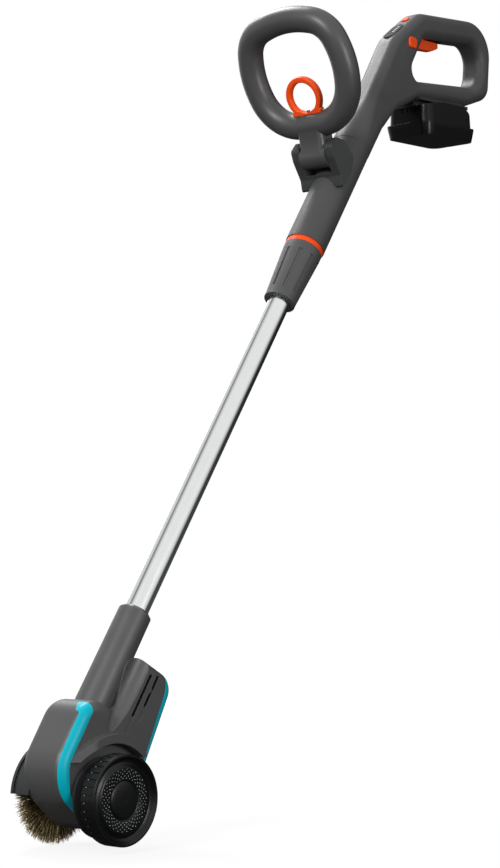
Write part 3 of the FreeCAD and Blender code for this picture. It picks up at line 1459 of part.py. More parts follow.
upper_shell = upper_shell.cut(pack_box(
    liner_half, contact_start, groove_end * 0.55, groove_bottom - pack_wall * 2, groove_bottom + seat
))
shaped("battery_top", on_battery(max(upper_shell.Solids, key=lambda solid: solid.Volume)))
contacts = contact_block.fuse(pack_box(
    liner_half - seat, contact_start + seat, groove_end * 0.55 - seat, groove_bottom - pack_wall,
    groove_bottom
)).cut(blade_slots)
shaped("battery_contacts", on_battery(contacts))

lower_outer = pack_taper(lower_draft, 0.0, 0.0, pack_split, pack_round)
lower_inner = pack_taper(
    lower_draft + pack_wall, pack_wall, pack_wall, pack_split + pack_wall * 2, pack_round - pack_wall
)
lower_shell = lower_outer.cut(lower_inner)
shoulder = pack_taper(0.0, 0.0, pack_split, pack_split + pack_wall, pack_round).cut(pack_taper(
    upper_inset - upper_draft - seat, upper_inset - upper_draft - seat, pack_split - over, pack_split + over,
    pack_round
))
lower_shell = lower_shell.fuse(shoulder)
shaped("battery_bottom", on_battery(max(lower_shell.Solids, key=lambda solid: solid.Volume)))

# Five cells lie across the battery in a cradle with the cell board on top
cell_radius = float(d.cell_radius)
cell_half = float(d.cell_length) / 2
cell_pitch = cell_radius * 2 + float(d.cell_gap)
cell_up = pack_wall + cell_radius + seat
cells = []
for step in range(-2, 3):
    cell = Part.makeCylinder(
        cell_radius, cell_half * 2, Vector(-cell_half, step * cell_pitch, cell_up), Vector(1, 0, 0)
    )
    cells.append(on_battery(cell))
shaped("battery_cells", Part.makeCompound(cells))
board_low = cell_up + cell_radius + seat
battery_board = pack_box(
    cell_half * 0.8, -cell_pitch * 2, cell_pitch * 2, board_low, board_low + board_thickness
)
shaped("battery_board", on_battery(battery_board))

# Release catch at the back of the battery, with its hook up to the shoe
latch_low = pack_split + pack_wall * 3 + slide
latch_high = pack_height - chamfer_down - slide
latch = pack_box(latch_half, pack_half - upper_inset * 3 + slide, pack_half - upper_inset / 2, latch_low, latch_high)
shaped("battery_latch", on_battery(latch))

# Shoe under the grip: a plate with a T rail and three contact blades
SHOE_SHARES = (0.402, 0.970)
shoe_front = (SHOE_SHARES[0] - BATTERY_SHARE[0]) * grip_length
shoe_back = (SHOE_SHARES[1] - BATTERY_SHARE[0]) * grip_length
shoe_half = 25.0
shoe_plate = 4.4
shoe_neck_half = 15.0
shoe_rise = 12.0
shoe_low = pack_height + slide
plate = pack_box(shoe_half, shoe_front, shoe_back, shoe_low, shoe_low + shoe_plate)
pedestal = pack_box(shoe_neck_half, shoe_front, shoe_back, shoe_low, shoe_low + shoe_rise)
rail = pack_box(rail_neck_half, shoe_front, groove_end - slide, shoe_low - rail_neck_height - slide * 2, shoe_low)
flange = pack_box(
    rail_flange_half, shoe_front, groove_end - slide, groove_bottom + slide, pack_height - rail_neck_height - slide
)
shoe = plate.fuse([rail, flange])
shoe_block = on_battery(shoe.fuse(pedestal))
shoe_block = shoe_block.cut(handle_inner)
blades = [
    pack_box(blade_half, blade_start, blade_end, slot_floor + slide * 2, groove_bottom + slide, step * blade_pitch)
    for step in (-1, 0, 1)
]
shoe_block = max(shoe_block.Solids, key=lambda solid: solid.Volume)
shaped("battery_shoe", shoe_block)
shaped("shoe_blades", on_battery(Part.makeCompound(blades)))
battery_room = on_battery(pack_box(
    pack_width + slide * 2, -pack_half - slide * 2, pack_half * 3, -slide * 2, pack_height + slide
))
# Handle halves, cut to pass the working parts

handle_case = handle_shell.fuse(handle_posts + [pin_bosses, lock_post])
handle_case = handle_case.common(handle_outer)
handle_case = handle_case.cut(
    [panel_hole, button_hole, trigger_slot, pin_bore, lock_hole, shoe_block, battery_room, guide_room]
    + handle_screw_holes
)
for label, low, high in (("handle_far", -over * 2, 0.0), ("handle_near", 0.0, over * 2)):
    half = handle_case.common(half_space(low, high))
    shaped(label, max(half.Solids, key=lambda solid: solid.Volume))

# Yoke: two ears in front of the barrel that carry the hand loop

yoke_along = float(d.yoke_along)
yoke_ahead = float(d.yoke_ahead)
YOKE_PLACE = on_shaft(0, -yoke_ahead, yoke_along)
ear_inner = float(d.ear_inner)
ear_outer = ear_inner + float(d.ear_thickness)
# The ear's side view from the hinge: along the shaft, to the underside and corner radius, as shares of the ear size
EAR_SHARES = [
    (0.400, -0.450, 0.140),
    (-0.050, -0.500, 0.160),
    (-0.280, -0.180, 0.160),
    (-0.560, 0.500, 0.200),
    (-0.920, 0.880, 0.080),
    (-0.115, 0.900, 0.200),
    (0.440, 0.720, 0.160),
    (0.600, -0.030, 0.160),
]
ear_size = float(d.ear_size)


def ear_block(low, high, size):
    """Make the ear's outline solid between two distances across."""
    corners = []
    for along_share, under_share, radius_share in EAR_SHARES:
        place = on_shaft(0, under_share * size - yoke_ahead, along_share * size + yoke_along)
        corners.append((place.y, place.z, radius_share * size))
    return side_slab(side_face(corners), low, high)


hub_radius = float(d.hub_radius)
saddle_thickness = yoke_ahead - barrel_radius - hub_radius - slide * 2
lip_share = 0.510
near_ear = ear_block(ear_inner, ear_outer, ear_size)
far_ear = ear_block(-ear_outer, -ear_inner, ear_size)
between_ears = ear_block(-ear_inner, ear_inner, ear_size)
barrel_band = shaft_cone(
    barrel_radius + saddle_thickness, barrel_radius + saddle_thickness, yoke_along - ear_size * 2,
    yoke_along + ear_size * 2
)
above_lip = shaft_cone(over * 2, over * 2, yoke_along - ear_size * lip_share, yoke_along + over * 2)
saddle = between_ears.cut(above_lip.cut(barrel_band))
saddle = saddle.cut(across_bar(hub_radius + slide * 2, -over, over, YOKE_PLACE))
barrel_room = shaft_cone(
    barrel_radius + seat / 2, barrel_radius + seat / 2, yoke_along - over * 2, yoke_along + over * 2
)
bolt_radius = float(d.hinge_bolt_radius)
bolt_head_radius = bolt_radius * 1.8
bolt_head_height = 3.0
bolt_end = ear_outer - float(d.handle_wall)
yoke = near_ear.fuse([far_ear, saddle]).cut([
    barrel_room,
    across_bar(bolt_radius + seat / 2, -over, bolt_end + seat, YOKE_PLACE),
    across_bar(bolt_head_radius + seat, -over, -ear_outer + bolt_head_height, YOKE_PLACE),
])
shaped("loop_yoke", max(yoke.Solids, key=lambda solid: solid.Volume))
bolt = across_bar(bolt_radius, -ear_outer + seat, bolt_end, YOKE_PLACE).fuse(
    across_bar(bolt_head_radius, -ear_outer + seat, -ear_outer + bolt_head_height - seat / 2, YOKE_PLACE)
)
shaped("hinge_bolt", bolt)

# Hand loop: a round grip bent to a soft triangle, on a neck between the ears

LOOP_TURN = Rotation(Vector(1, 0, 0), float(d.loop_lean))
LOOP = Placement(YOKE_PLACE, LOOP_TURN)
loop_offset = float(d.loop_offset)
loop_section = float(d.loop_section)
# Half of the centre line from the hinge: across, up the loop and corner radius, as shares of the loop's height
LOOP_SHARES = [
    (0.430, 0.283, 0.400),
    (0.542, 0.798, 0.740),
    (0.445, 1.152, 0.290),
]
LOOP_CREST = (1.278, 0.950)
loop_height = float(d.loop_height)


def open_path(path, start):
    """Cut a closed wire at a place on a straight edge, so that it starts and ends there."""
    edges = Part.__sortEdges__(path.Edges)
    index = min(range(len(edges)), key=lambda item: edges[item].distToShape(Part.Vertex(start))[0])
    first = edges[index].valueAt(edges[index].FirstParameter)
    last = edges[index].valueAt(edges[index].LastParameter)
    ordered = edges[index + 1:] + edges[:index]
    joins = [vertex.Point for vertex in ordered[0].Vertexes]
    head, tail = first, last
    if min((point - first).Length for point in joins) > min((point - last).Length for point in joins):
        head, tail = last, first
    return Part.Wire([Part.makeLine(start, head)] + ordered + [Part.makeLine(tail, start)])


def loop_tube(radius):
    """Sweep a round section along the loop's centre line, in the loop's own frame."""
    right = [
        (Vector(across * loop_height, loop_offset, up * loop_height), bend * loop_height)
        for across, up, bend in LOOP_SHARES
    ]
    left = [(Vector(-point.x, point.y, point.z), bend) for point, bend in reversed(right)]
    crest = [(Vector(0, loop_offset, LOOP_CREST[0] * loop_height), LOOP_CREST[1] * loop_height)]
    middle = Vector(0, loop_offset, LOOP_SHARES[0][1] * loop_height)
    section = Part.Wire(Part.makeCircle(radius, middle, Vector(1, 0, 0)))
    return open_path(rounded_wire(right + crest + left), middle).makePipeShell([section], True, False)


def on_loop(shape):
    """Set a shape made in the loop's own frame in place."""
    shape.Placement = LOOP.multiply(shape.Placement)
    return shape


def loop_bar(radius, low, high, up=0.0):
    """Make a round bar across, in the loop's own frame."""
    return Part.makeCylinder(radius, high - low, Vector(low, 0, up), Vector(1, 0, 0))


hub_half = ear_inner - slide * 1.5
neck_half = ear_inner - slide * 5
loop_low = LOOP_SHARES[0][1] * loop_height
reach = math.hypot(loop_offset, loop_low)
square = Vector(0, loop_low / reach, -loop_offset / reach)
loop_foot = Vector(0, loop_offset, loop_low)
neck_foot_half = hub_radius * 0.92
neck_top_half = loop_section * 0.90
neck_corners = [
    square * neck_foot_half, loop_foot + square * neck_top_half, loop_foot - square * neck_top_half,
    -square * neck_foot_half, square * neck_foot_half,
]
neck = Part.Face(Part.makePolygon(neck_corners))
neck.translate(Vector(-neck_half, 0, 0))
neck = neck.extrude(Vector(neck_half * 2, 0, 0))
neck_round = 8.0
neck_edges = [edge for edge in neck.Edges if abs(edge.tangentAt(edge.FirstParameter).dot(loop_foot)) > loop_low * 0.9]
neck = neck.makeFillet(neck_round, neck_edges)
loop = loop_tube(loop_section).fuse([loop_bar(hub_radius, -hub_half, hub_half), neck])

# The lock pin runs from the pull ring to a notched disc on the hinge bolt
disc_radius = 9.0
disc_half = 5.0
disc_notch = 2.7
disc_notches = 16
ring_seat = loop_height * LOOP_SHARES[0][1] + loop_section
pin_lean = math.degrees(math.atan2(float(d.ring_offset), ring_seat))
PIN_TURN = Rotation(Vector(1, 0, 0), -pin_lean)
pin_stem = 2.5
pin_collar = 5.2
spring_room = pin_collar + slide
pin_tip = disc_radius + slide
collar_low = 22.0
collar_high = 25.0
shelf = 38.5
pin_rise = 4.0
pin_top = math.hypot(float(d.ring_offset), ring_seat) + pin_rise


def along_pin(radius, low, high):
    """Make a round bar along the lock pin, in the loop's own frame."""
    bar = Part.makeCylinder(radius, high - low, Vector(0, 0, low), Vector(0, 0, 1))
    bar.Placement = Placement(ORIGIN, PIN_TURN)
    return bar


loop = loop.cut([
    loop_bar(bolt_radius + float(d.running_fit), -over, over),
    loop_bar(disc_radius + slide, -over, disc_half + slide),
    along_pin(spring_room, disc_radius, shelf),
    along_pin(pin_stem + slide, disc_radius, pin_top + over),
])
shaped("hand_loop", on_loop(loop))
bush = loop_bar(disc_radius + slide / 2, -hub_half, -disc_half - slide).cut(
    loop_bar(bolt_radius + float(d.running_fit), -over, over)
)
shaped("hinge_bush", on_loop(bush))
disc = loop_bar(disc_radius, -disc_half, disc_half).cut(loop_bar(bolt_radius + seat / 2, -over, over))
for step in range(disc_notches):
    angle = (step + 0.5) * 2 * math.pi / disc_notches
    disc = disc.cut(Part.makeCylinder(
        disc_notch / 2, disc_half * 3,
        Vector(-disc_half * 1.5, disc_radius * math.sin(angle), disc_radius * math.cos(angle)), Vector(1, 0, 0)
    ))
shaped("detent_disc", on_loop(disc))

# Pull ring: a finger ring on the lock pin, its foot shaped to the loop
ring_offset = float(d.ring_offset)
ring_up = ring_seat + float(d.ring_rise)
ring_outer = float(d.ring_outer)
ring_inner = float(d.ring_inner)
ring_half = float(d.ring_thickness) / 2
foot_half = ring_outer * 0.85
ring_low = ring_up - ring_outer
ring_disc = Part.makeCylinder(ring_outer, ring_half * 2, Vector(0, ring_offset - ring_half, ring_up), Vector(0, 1, 0))
foot_corners = [
    (Vector(-foot_half, ring_offset - ring_half, ring_low - loop_section), 0.0),
    (Vector(foot_half, ring_offset - ring_half, ring_low - loop_section), 0.0),
    (Vector(foot_half, ring_offset - ring_half, ring_low + ring_outer * 0.42), ring_half / 2),
    (Vector(-foot_half, ring_offset - ring_half, ring_low + ring_outer * 0.42), ring_half / 2),
]
foot = Part.Face(rounded_wire(foot_corners)).extrude(Vector(0, ring_half * 2, 0))
ring_hole = Part.makeCylinder(
    ring_inner, ring_half * 4, Vector(0, ring_offset - ring_half * 2, ring_up), Vector(0, 1, 0)
)
ring_round = ring_half * 0.6
ring_disc = ring_disc.cut(ring_hole)
ring_disc = ring_disc.makeFillet(ring_round, [
    edge for edge in ring_disc.Edges if edge.BoundBox.YLength < seat and edge.Length > ring_outer
])
foot = foot.makeFillet(ring_round / 2, [
    edge for edge in foot.Edges if edge.BoundBox.YLength < seat and edge.CenterOfMass.z > ring_low
])
ring = ring_disc.fuse(foot.cut(ring_hole))
ring = ring.cut([loop_tube(loop_section + slide * 1.4), along_pin(pin_stem + seat / 2, disc_radius, pin_top)])
shaped("pull_ring", on_loop(max(ring.Solids, key=lambda solid: solid.Volume)))
lock_pin = along_pin(pin_stem, pin_tip, pin_top - seat).fuse(along_pin(pin_collar, collar_low, collar_high))
shaped("lock_pin", on_loop(lock_pin))
ring_spring_wire = 0.9
ring_spring_pitch = 1.3
ring_spring_turns = 4
spring_seat = Placement(ORIGIN, PIN_TURN).multiply(
    Placement(Vector(0, 0, collar_high + ring_spring_wire / 2 + seat), Rotation())
)
ring_spring = coil(
    pin_stem + slide + ring_spring_wire / 2, ring_spring_wire, ring_spring_pitch, ring_spring_turns, spring_seat
)
shaped("ring_spring", on_loop(ring_spring))


# Write every sub-part, once each one has built

doc.recompute()
for thing in doc.Objects:
    if "Invalid" in thing.State or "Error" in thing.State:
        raise RuntimeError("{} did not build: {}".format(thing.Name, thing.State))
os.makedirs("parts", exist_ok=True)
for thing in parts:
    shape = thing.Shape
    if shape.isNull() or not shape.isValid() or not shape.Solids:
        raise RuntimeError("{} has no sound shape".format(thing.Label))
    shape.exportStep("parts/{}.step".format(thing.Label))
    print("{:24s} solids {:2d} volume {:12.1f}".format(thing.Label, len(shape.Solids), shape.Volume))
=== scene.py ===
import bpy
import bmesh
import math
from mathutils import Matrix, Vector


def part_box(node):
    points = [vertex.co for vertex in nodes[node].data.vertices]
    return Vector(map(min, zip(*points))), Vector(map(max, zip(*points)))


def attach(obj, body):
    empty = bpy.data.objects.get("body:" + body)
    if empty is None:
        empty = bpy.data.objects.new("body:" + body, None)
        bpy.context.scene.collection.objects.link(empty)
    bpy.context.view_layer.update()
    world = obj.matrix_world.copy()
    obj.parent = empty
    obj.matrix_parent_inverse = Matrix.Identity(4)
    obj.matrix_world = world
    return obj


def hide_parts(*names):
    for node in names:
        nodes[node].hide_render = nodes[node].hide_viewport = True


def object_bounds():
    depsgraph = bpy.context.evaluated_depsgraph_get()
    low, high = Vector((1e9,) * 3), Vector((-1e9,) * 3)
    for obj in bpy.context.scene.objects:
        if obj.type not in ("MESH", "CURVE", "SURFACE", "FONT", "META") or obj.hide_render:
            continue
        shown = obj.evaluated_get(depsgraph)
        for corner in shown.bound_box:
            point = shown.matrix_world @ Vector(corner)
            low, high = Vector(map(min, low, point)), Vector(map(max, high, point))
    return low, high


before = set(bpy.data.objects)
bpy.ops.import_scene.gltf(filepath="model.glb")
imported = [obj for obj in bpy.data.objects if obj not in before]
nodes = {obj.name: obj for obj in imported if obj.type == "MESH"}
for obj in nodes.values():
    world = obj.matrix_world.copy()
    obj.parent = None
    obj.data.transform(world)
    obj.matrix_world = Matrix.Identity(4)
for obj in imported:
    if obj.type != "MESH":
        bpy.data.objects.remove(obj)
cad_low, cad_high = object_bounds()
scene = bpy.context.scene
scene.view_settings.view_transform = "Standard"

# Camera: a long lens low down in front of the tool, on the wheel's side. It is turned up a few
# degrees, as the photograph was taken, and its numbers were fitted to the photograph.
camera_place = Vector((1.77194, -1.70917, 0.3206))
camera_turn = math.radians(41.43)
camera_rise = math.radians(3.54)
upright = math.radians(90)
camera_lens_px = 2100.29
camera_long_side_px = 868
camera_data = bpy.data.cameras.new("camera")
camera_data.sensor_fit = "AUTO"
camera_data.sensor_width = 36
camera_data.lens = camera_data.sensor_width * camera_lens_px / camera_long_side_px
camera_data.clip_end = 20
camera = bpy.data.objects.new("camera", camera_data)
camera.rotation_euler = (upright + camera_rise, 0, camera_turn)
camera.location = camera_place
scene.collection.objects.link(camera)
scene.camera = camera

# Casing of the brush head: two moulded halves of dark grey nylon and a hood over the gears,
# screwed together from the far side. The mould was spark-eroded, so the skin has a fine even
# grain that turns the studio light into one long soft band.
mm = 0.001
cloud_size = 38 * mm
grain_depth = 0.12 * mm
smooth_up_to = math.radians(32)
weld_reach = 0.02 * mm


def to_linear(hex_text):
    """Turn an sRGB hex colour into linear red, green, blue and alpha."""
    values = [int(hex_text[start:start + 2], 16) / 255 for start in (1, 3, 5)]
    linear = [v / 12.92 if v <= 0.04045 else ((v + 0.055) / 1.055) ** 2.4 for v in values]
    return (linear[0], linear[1], linear[2], 1.0)


def add(tree, kind, values=None, links=None, **settings):
    """Add a node, set its fields and its input values, and link its inputs."""
    node = tree.nodes.new(kind)
    for name, value in settings.items():
        setattr(node, name, value)
    for socket, value in (values or {}).items():
        node.inputs[socket].default_value = value
    for socket, source in (links or {}).items():
        tree.links.new(source, node.inputs[socket])
    return node


def new_material(name):
    """Start a material with an empty tree, and give back its object coordinates too."""
    material = bpy.data.materials.new(name)
    material.use_nodes = True
    material.node_tree.nodes.clear()
    place = add(material.node_tree, "ShaderNodeTexCoord").outputs["Object"]
    return material, material.node_tree, place


def close_material(tree, values, links):
    """Add the shader and the output to a material's tree."""
    shader = add(tree, "ShaderNodeBsdfPrincipled", values, links)
    add(tree, "ShaderNodeOutputMaterial", None, {"Surface": shader.outputs["BSDF"]})


def worn_edges(tree, radius_mm):
    """Give the share of wear along outer edges, and the softened normal there."""
    soft = add(tree, "ShaderNodeBevel", {"Radius": radius_mm * mm}, samples=4)
    plain = add(tree, "ShaderNodeNewGeometry")
    likeness = add(
        tree, "ShaderNodeVectorMath", None, {0: soft.outputs["Normal"], 1: plain.outputs["Normal"]},
        operation="DOT_PRODUCT"
    )
    share = add(
        tree, "ShaderNodeMapRange", {"From Min": 0.99, "From Max": 0.80, "To Min": 0.0, "To Max": 1.0},
        {"Value": likeness.outputs["Value"]}
    )
    return share.outputs["Result"], soft.outputs["Normal"]


def moulded(name, deep, pale, rough_low, rough_high, grain_mm, relief, edge_mm=0.5, values=None):
    """Make a moulded plastic: clouded colour, spark-eroded grain, edges rubbed a little paler."""
    material, tree, place = new_material(name)
    # Real moulded grain is about 0.1 mm, too fine to show, so each plastic is given a coarser one
    grain_size = grain_mm * mm
    speck_size = grain_size * 2.2
    cloud = add(tree, "ShaderNodeTexNoise", {"Scale": 1 / cloud_size, "Detail": 4.0}, {"Vector": place})
    grain = add(
        tree, "ShaderNodeTexNoise", {"Scale": 1 / grain_size, "Detail": 2.0, "Roughness": 0.6},
        {"Vector": place}
    )
    speck = add(tree, "ShaderNodeTexVoronoi", {"Scale": 1 / speck_size}, {"Vector": place})
    wear, soft = worn_edges(tree, edge_mm)
    scuff = add(
        tree, "ShaderNodeMath", None, {0: wear, 1: cloud.outputs["Fac"]}, operation="MULTIPLY"
    )
    rubbed = tuple(min(1.0, value * 1.9 + 0.006) for value in to_linear(pale)[:3]) + (1.0,)
    plain = add(
        tree, "ShaderNodeMix", {6: to_linear(deep), 7: to_linear(pale)}, {0: cloud.outputs["Fac"]},
        data_type="RGBA"
    )
    tone = add(
        tree, "ShaderNodeMix", {7: rubbed}, {0: scuff.outputs["Value"], 6: plain.outputs[2]},
        data_type="RGBA"
    )
    rough = add(
        tree, "ShaderNodeMapRange",
        {"From Min": 0.3, "From Max": 0.7, "To Min": rough_low, "To Max": rough_high},
        {"Value": grain.outputs["Fac"]}
    )
    height = add(
        tree, "ShaderNodeMath", None, {0: grain.outputs["Fac"], 1: speck.outputs["Distance"]}, operation="ADD"
    )
    bump = add(
        tree, "ShaderNodeBump", {"Strength": relief, "Distance": grain_depth},
        {"Height": height.outputs["Value"], "Normal": soft}
    )
    close_material(tree, values or {}, {
        "Base Color": tone.outputs[2], "Roughness": rough.outputs["Result"],
        "Normal": bump.outputs["Normal"]
    })
    return material


def smooth_faces():
    """Build the tree that joins a node's triangles and shades them smooth up to an angle."""
    tree = bpy.data.node_groups.new("smooth_faces", "GeometryNodeTree")
    tree.interface.new_socket("Mesh", in_out="INPUT", socket_type="NodeSocketGeometry")
    angle = tree.interface.new_socket("Smooth up to", in_out="INPUT", socket_type="NodeSocketFloat")
    angle.default_value = smooth_up_to
    tree.interface.new_socket("Mesh", in_out="OUTPUT", socket_type="NodeSocketGeometry")
    given = add(tree, "NodeGroupInput")
    joined = add(
        tree, "GeometryNodeMergeByDistance", {"Distance": weld_reach}, {"Geometry": given.outputs["Mesh"]}
    )
    faces = add(
        tree, "GeometryNodeSetShadeSmooth", {"Shade Smooth": True}, {"Geometry": joined.outputs["Geometry"]}
    )
    bend = add(tree, "GeometryNodeInputMeshEdgeAngle")
    gentle = add(
        tree, "FunctionNodeCompare", None,
        {"A": bend.outputs["Unsigned Angle"], "B": given.outputs["Smooth up to"]}, operation="LESS_THAN"
    )
    edges = add(
        tree, "GeometryNodeSetShadeSmooth", None,
        {"Geometry": faces.outputs["Geometry"], "Shade Smooth": gentle.outputs["Result"]}, domain="EDGE"
    )
    add(tree, "NodeGroupOutput", None, {"Mesh": edges.outputs["Geometry"]})
    return tree


smooth_tree = smooth_faces()


def dress(material, *names):
    """Give CAD nodes their material and smooth shading."""
    for name in names:
        piece = nodes[name]
        if piece.material_slots:
            piece.material_slots[0].material = material
        else:
            piece.data.materials.append(material)
        smoothing = piece.modifiers.new("smooth_faces", "NODES")
        smoothing.node_group = smooth_tree


# Glass-filled nylon, satin: the grain breaks the light into a broad grey sheen
casing_nylon = moulded("spark_eroded_nylon", "#474747", "#525252", 0.34, 0.46, 0.55, 0.30)
dress(casing_nylon, "head_case_near", "head_case_far", "front_hood")

# Trim strips on the head: glossy cyan ABS clipped into the casing's front and rear edges.
# The strips are polished in the mould, so they carry a sharper light than the nylon.
# Polished ABS: deep even colour with a clean narrow highlight
cyan_abs = moulded("polished_cyan_abs", "#00aabe", "#00b5c7", 0.32, 0.40, 0.9, 0.06, 0.4,
                   {"Specular IOR Level": 0.2})
dress(cyan_abs, "front_trim", "rear_trim")

# Screws and bearings of the head: turned and zinc-plated steel, driven in from the far side.
# Plating leaves a grey metal with fine turned rings and a faint yellow cast. Real tool lines are
# about 0.1 mm apart, so they are drawn coarser in order to show.
line_pitch = 1.2 * mm
line_depth = 0.05 * mm
film_size = 24 * mm


def metal(name, deep, pale, rough_low, rough_high, stretch, relief, lean=0.0):
    """Make a drawn or turned metal with fine lines along one axis, leaned back about X by an angle."""
    material, tree, place = new_material(name)
    level = add(tree, "ShaderNodeMapping", {"Rotation": (lean, 0, 0)}, {"Vector": place})
    lined = add(tree, "ShaderNodeMapping", {"Scale": stretch}, {"Vector": level.outputs["Vector"]})
    lines = add(
        tree, "ShaderNodeTexNoise", {"Scale": 1 / line_pitch, "Detail": 3.0},
        {"Vector": lined.outputs["Vector"]}
    )
    film = add(tree, "ShaderNodeTexNoise", {"Scale": 1 / film_size, "Detail": 3.0}, {"Vector": place})
    bump = add(
        tree, "ShaderNodeBump", {"Strength": relief, "Distance": line_depth}, {"Height": lines.outputs["Fac"]}
    )
    tone = add(
        tree, "ShaderNodeMix", {6: to_linear(deep), 7: to_linear(pale)}, {0: film.outputs["Fac"]},
        data_type="RGBA"
    )
    rough = add(
        tree, "ShaderNodeMapRange",
        {"From Min": 0.3, "From Max": 0.7, "To Min": rough_low, "To Max": rough_high},
        {"Value": lines.outputs["Fac"]}
    )
    close_material(tree, {"Metallic": 1.0}, {
        "Base Color": tone.outputs[2], "Roughness": rough.outputs["Result"],
        "Normal": bump.outputs["Normal"]
    })
    return material


# Zinc-plated steel: soft grey metal with rings from the lathe
plated_steel = metal("zinc_plated_turned_steel", "#8b8d8c", "#a5a6a2", 0.28, 0.45, (1.0, 0.06, 0.06), 0.25)
dress(plated_steel, "head_screws", "axle_bearings", "wheel_stub", "wheel_keeper")
dress(plated_steel, "brush_axle", "crown_spacer")

# Brush guard: a curved cover of black polypropylene, clipped over the brush on the far side.
# It is thinner and duller than the casing, with moulding sheen only along its rim.
# Moulded polypropylene: nearly black, waxy, with a slightly uneven sheen
guard_polypropylene = moulded("moulded_polypropylene", "#262727", "#303131", 0.42, 0.56, 0.7, 0.30)
dress(guard_polypropylene, "brush_guard", "wheel_backing", "brush_disc")

# Drive in the head: a can motor on a stamped plate turns a small steel pinion, which turns an
# acetal crown wheel on the brush axle. All of it is hidden until the casing comes off.
# Stamped aluminium sheet: pale, with rolling lines along the plate
stamped_plate = metal("stamped_aluminium_sheet", "#a9aaab", "#bcbdbd", 0.30, 0.42, (0.06, 1.0, 1.0), 0.15)
# Acetal: milky and smooth with a faint wax gloss
acetal = moulded("moulded_acetal", "#c9c3ae", "#d8d3c2", 0.28, 0.36, 0.8, 0.08)
# Enamelled copper windings: dark orange metal with close turns across the core
windings = metal("enamelled_copper_windings", "#8a4a24", "#a8602f", 0.25, 0.40, (1.0, 1.0, 0.10), 0.8)
dress(plated_steel, "motor_can", "motor_shaft", "drive_pinion")
dress(stamped_plate, "motor_mount")
dress(acetal, "crown_wheel")
dress(windings, "motor_rotor")

# Brush: thousands of crimped wires with a brass coat stand out from a plastic disc, held by a nut
# and washer at the end of the axle. The wires fan out, their roots painted darker as shade and their
# tips rubbed bright. Each is drawn about twice as thick as a real one, and there are fewer of them.
dress(plated_steel, "brush_nut", "brush_washer")
ring_low, ring_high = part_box("bristle_ring")
axle_height = (ring_low.z + ring_high.z) / 2
brush_reach = (ring_high.z - ring_low.z) / 2
wire_root = 24.0 * mm
wire_thickness = 0.62 * mm
wire_count = 3600
crimp_pitch = 6.5 * mm
crimp_depth = 0.55 * mm
crimp_points = 9
tip_share = 0.45
core_half_width = 3.4 * mm
near_room = 0.5 * mm
far_room = 4.5 * mm
stray_turn = 0.22
short_share = 0.74
long_share = 0.985


def crimped_wire():
    """Make one wire of unit length along Z as three long sides that follow its crimp."""
    mesh = bpy.data.meshes.new("crimped_wire")
    shape = bmesh.new()
    rings = []
    length = brush_reach - wire_root
    for step in range(crimp_points):
        share = step / (crimp_points - 1)
        sway = math.sin(share * length / crimp_pitch * math.tau) * crimp_depth
        thick = wire_thickness / 2 * (1.0 if step < crimp_points - 1 else tip_share)
        ring = []
        for side in range(3):
            turn = side * math.tau / 3
            ring.append(shape.verts.new((
                sway + thick * math.cos(turn), thick * math.sin(turn), share * length
            )))
        rings.append(ring)
    for low, high in zip(rings, rings[1:]):
        for side in range(3):
            shape.faces.new((low[side], low[(side + 1) % 3], high[(side + 1) % 3], high[side]))
    shape.faces.new(tuple(reversed(rings[0])))
    shape.faces.new(tuple(rings[-1]))
    shape.to_mesh(mesh)
    shape.free()
    return bpy.data.objects.new("crimped_wire", mesh)


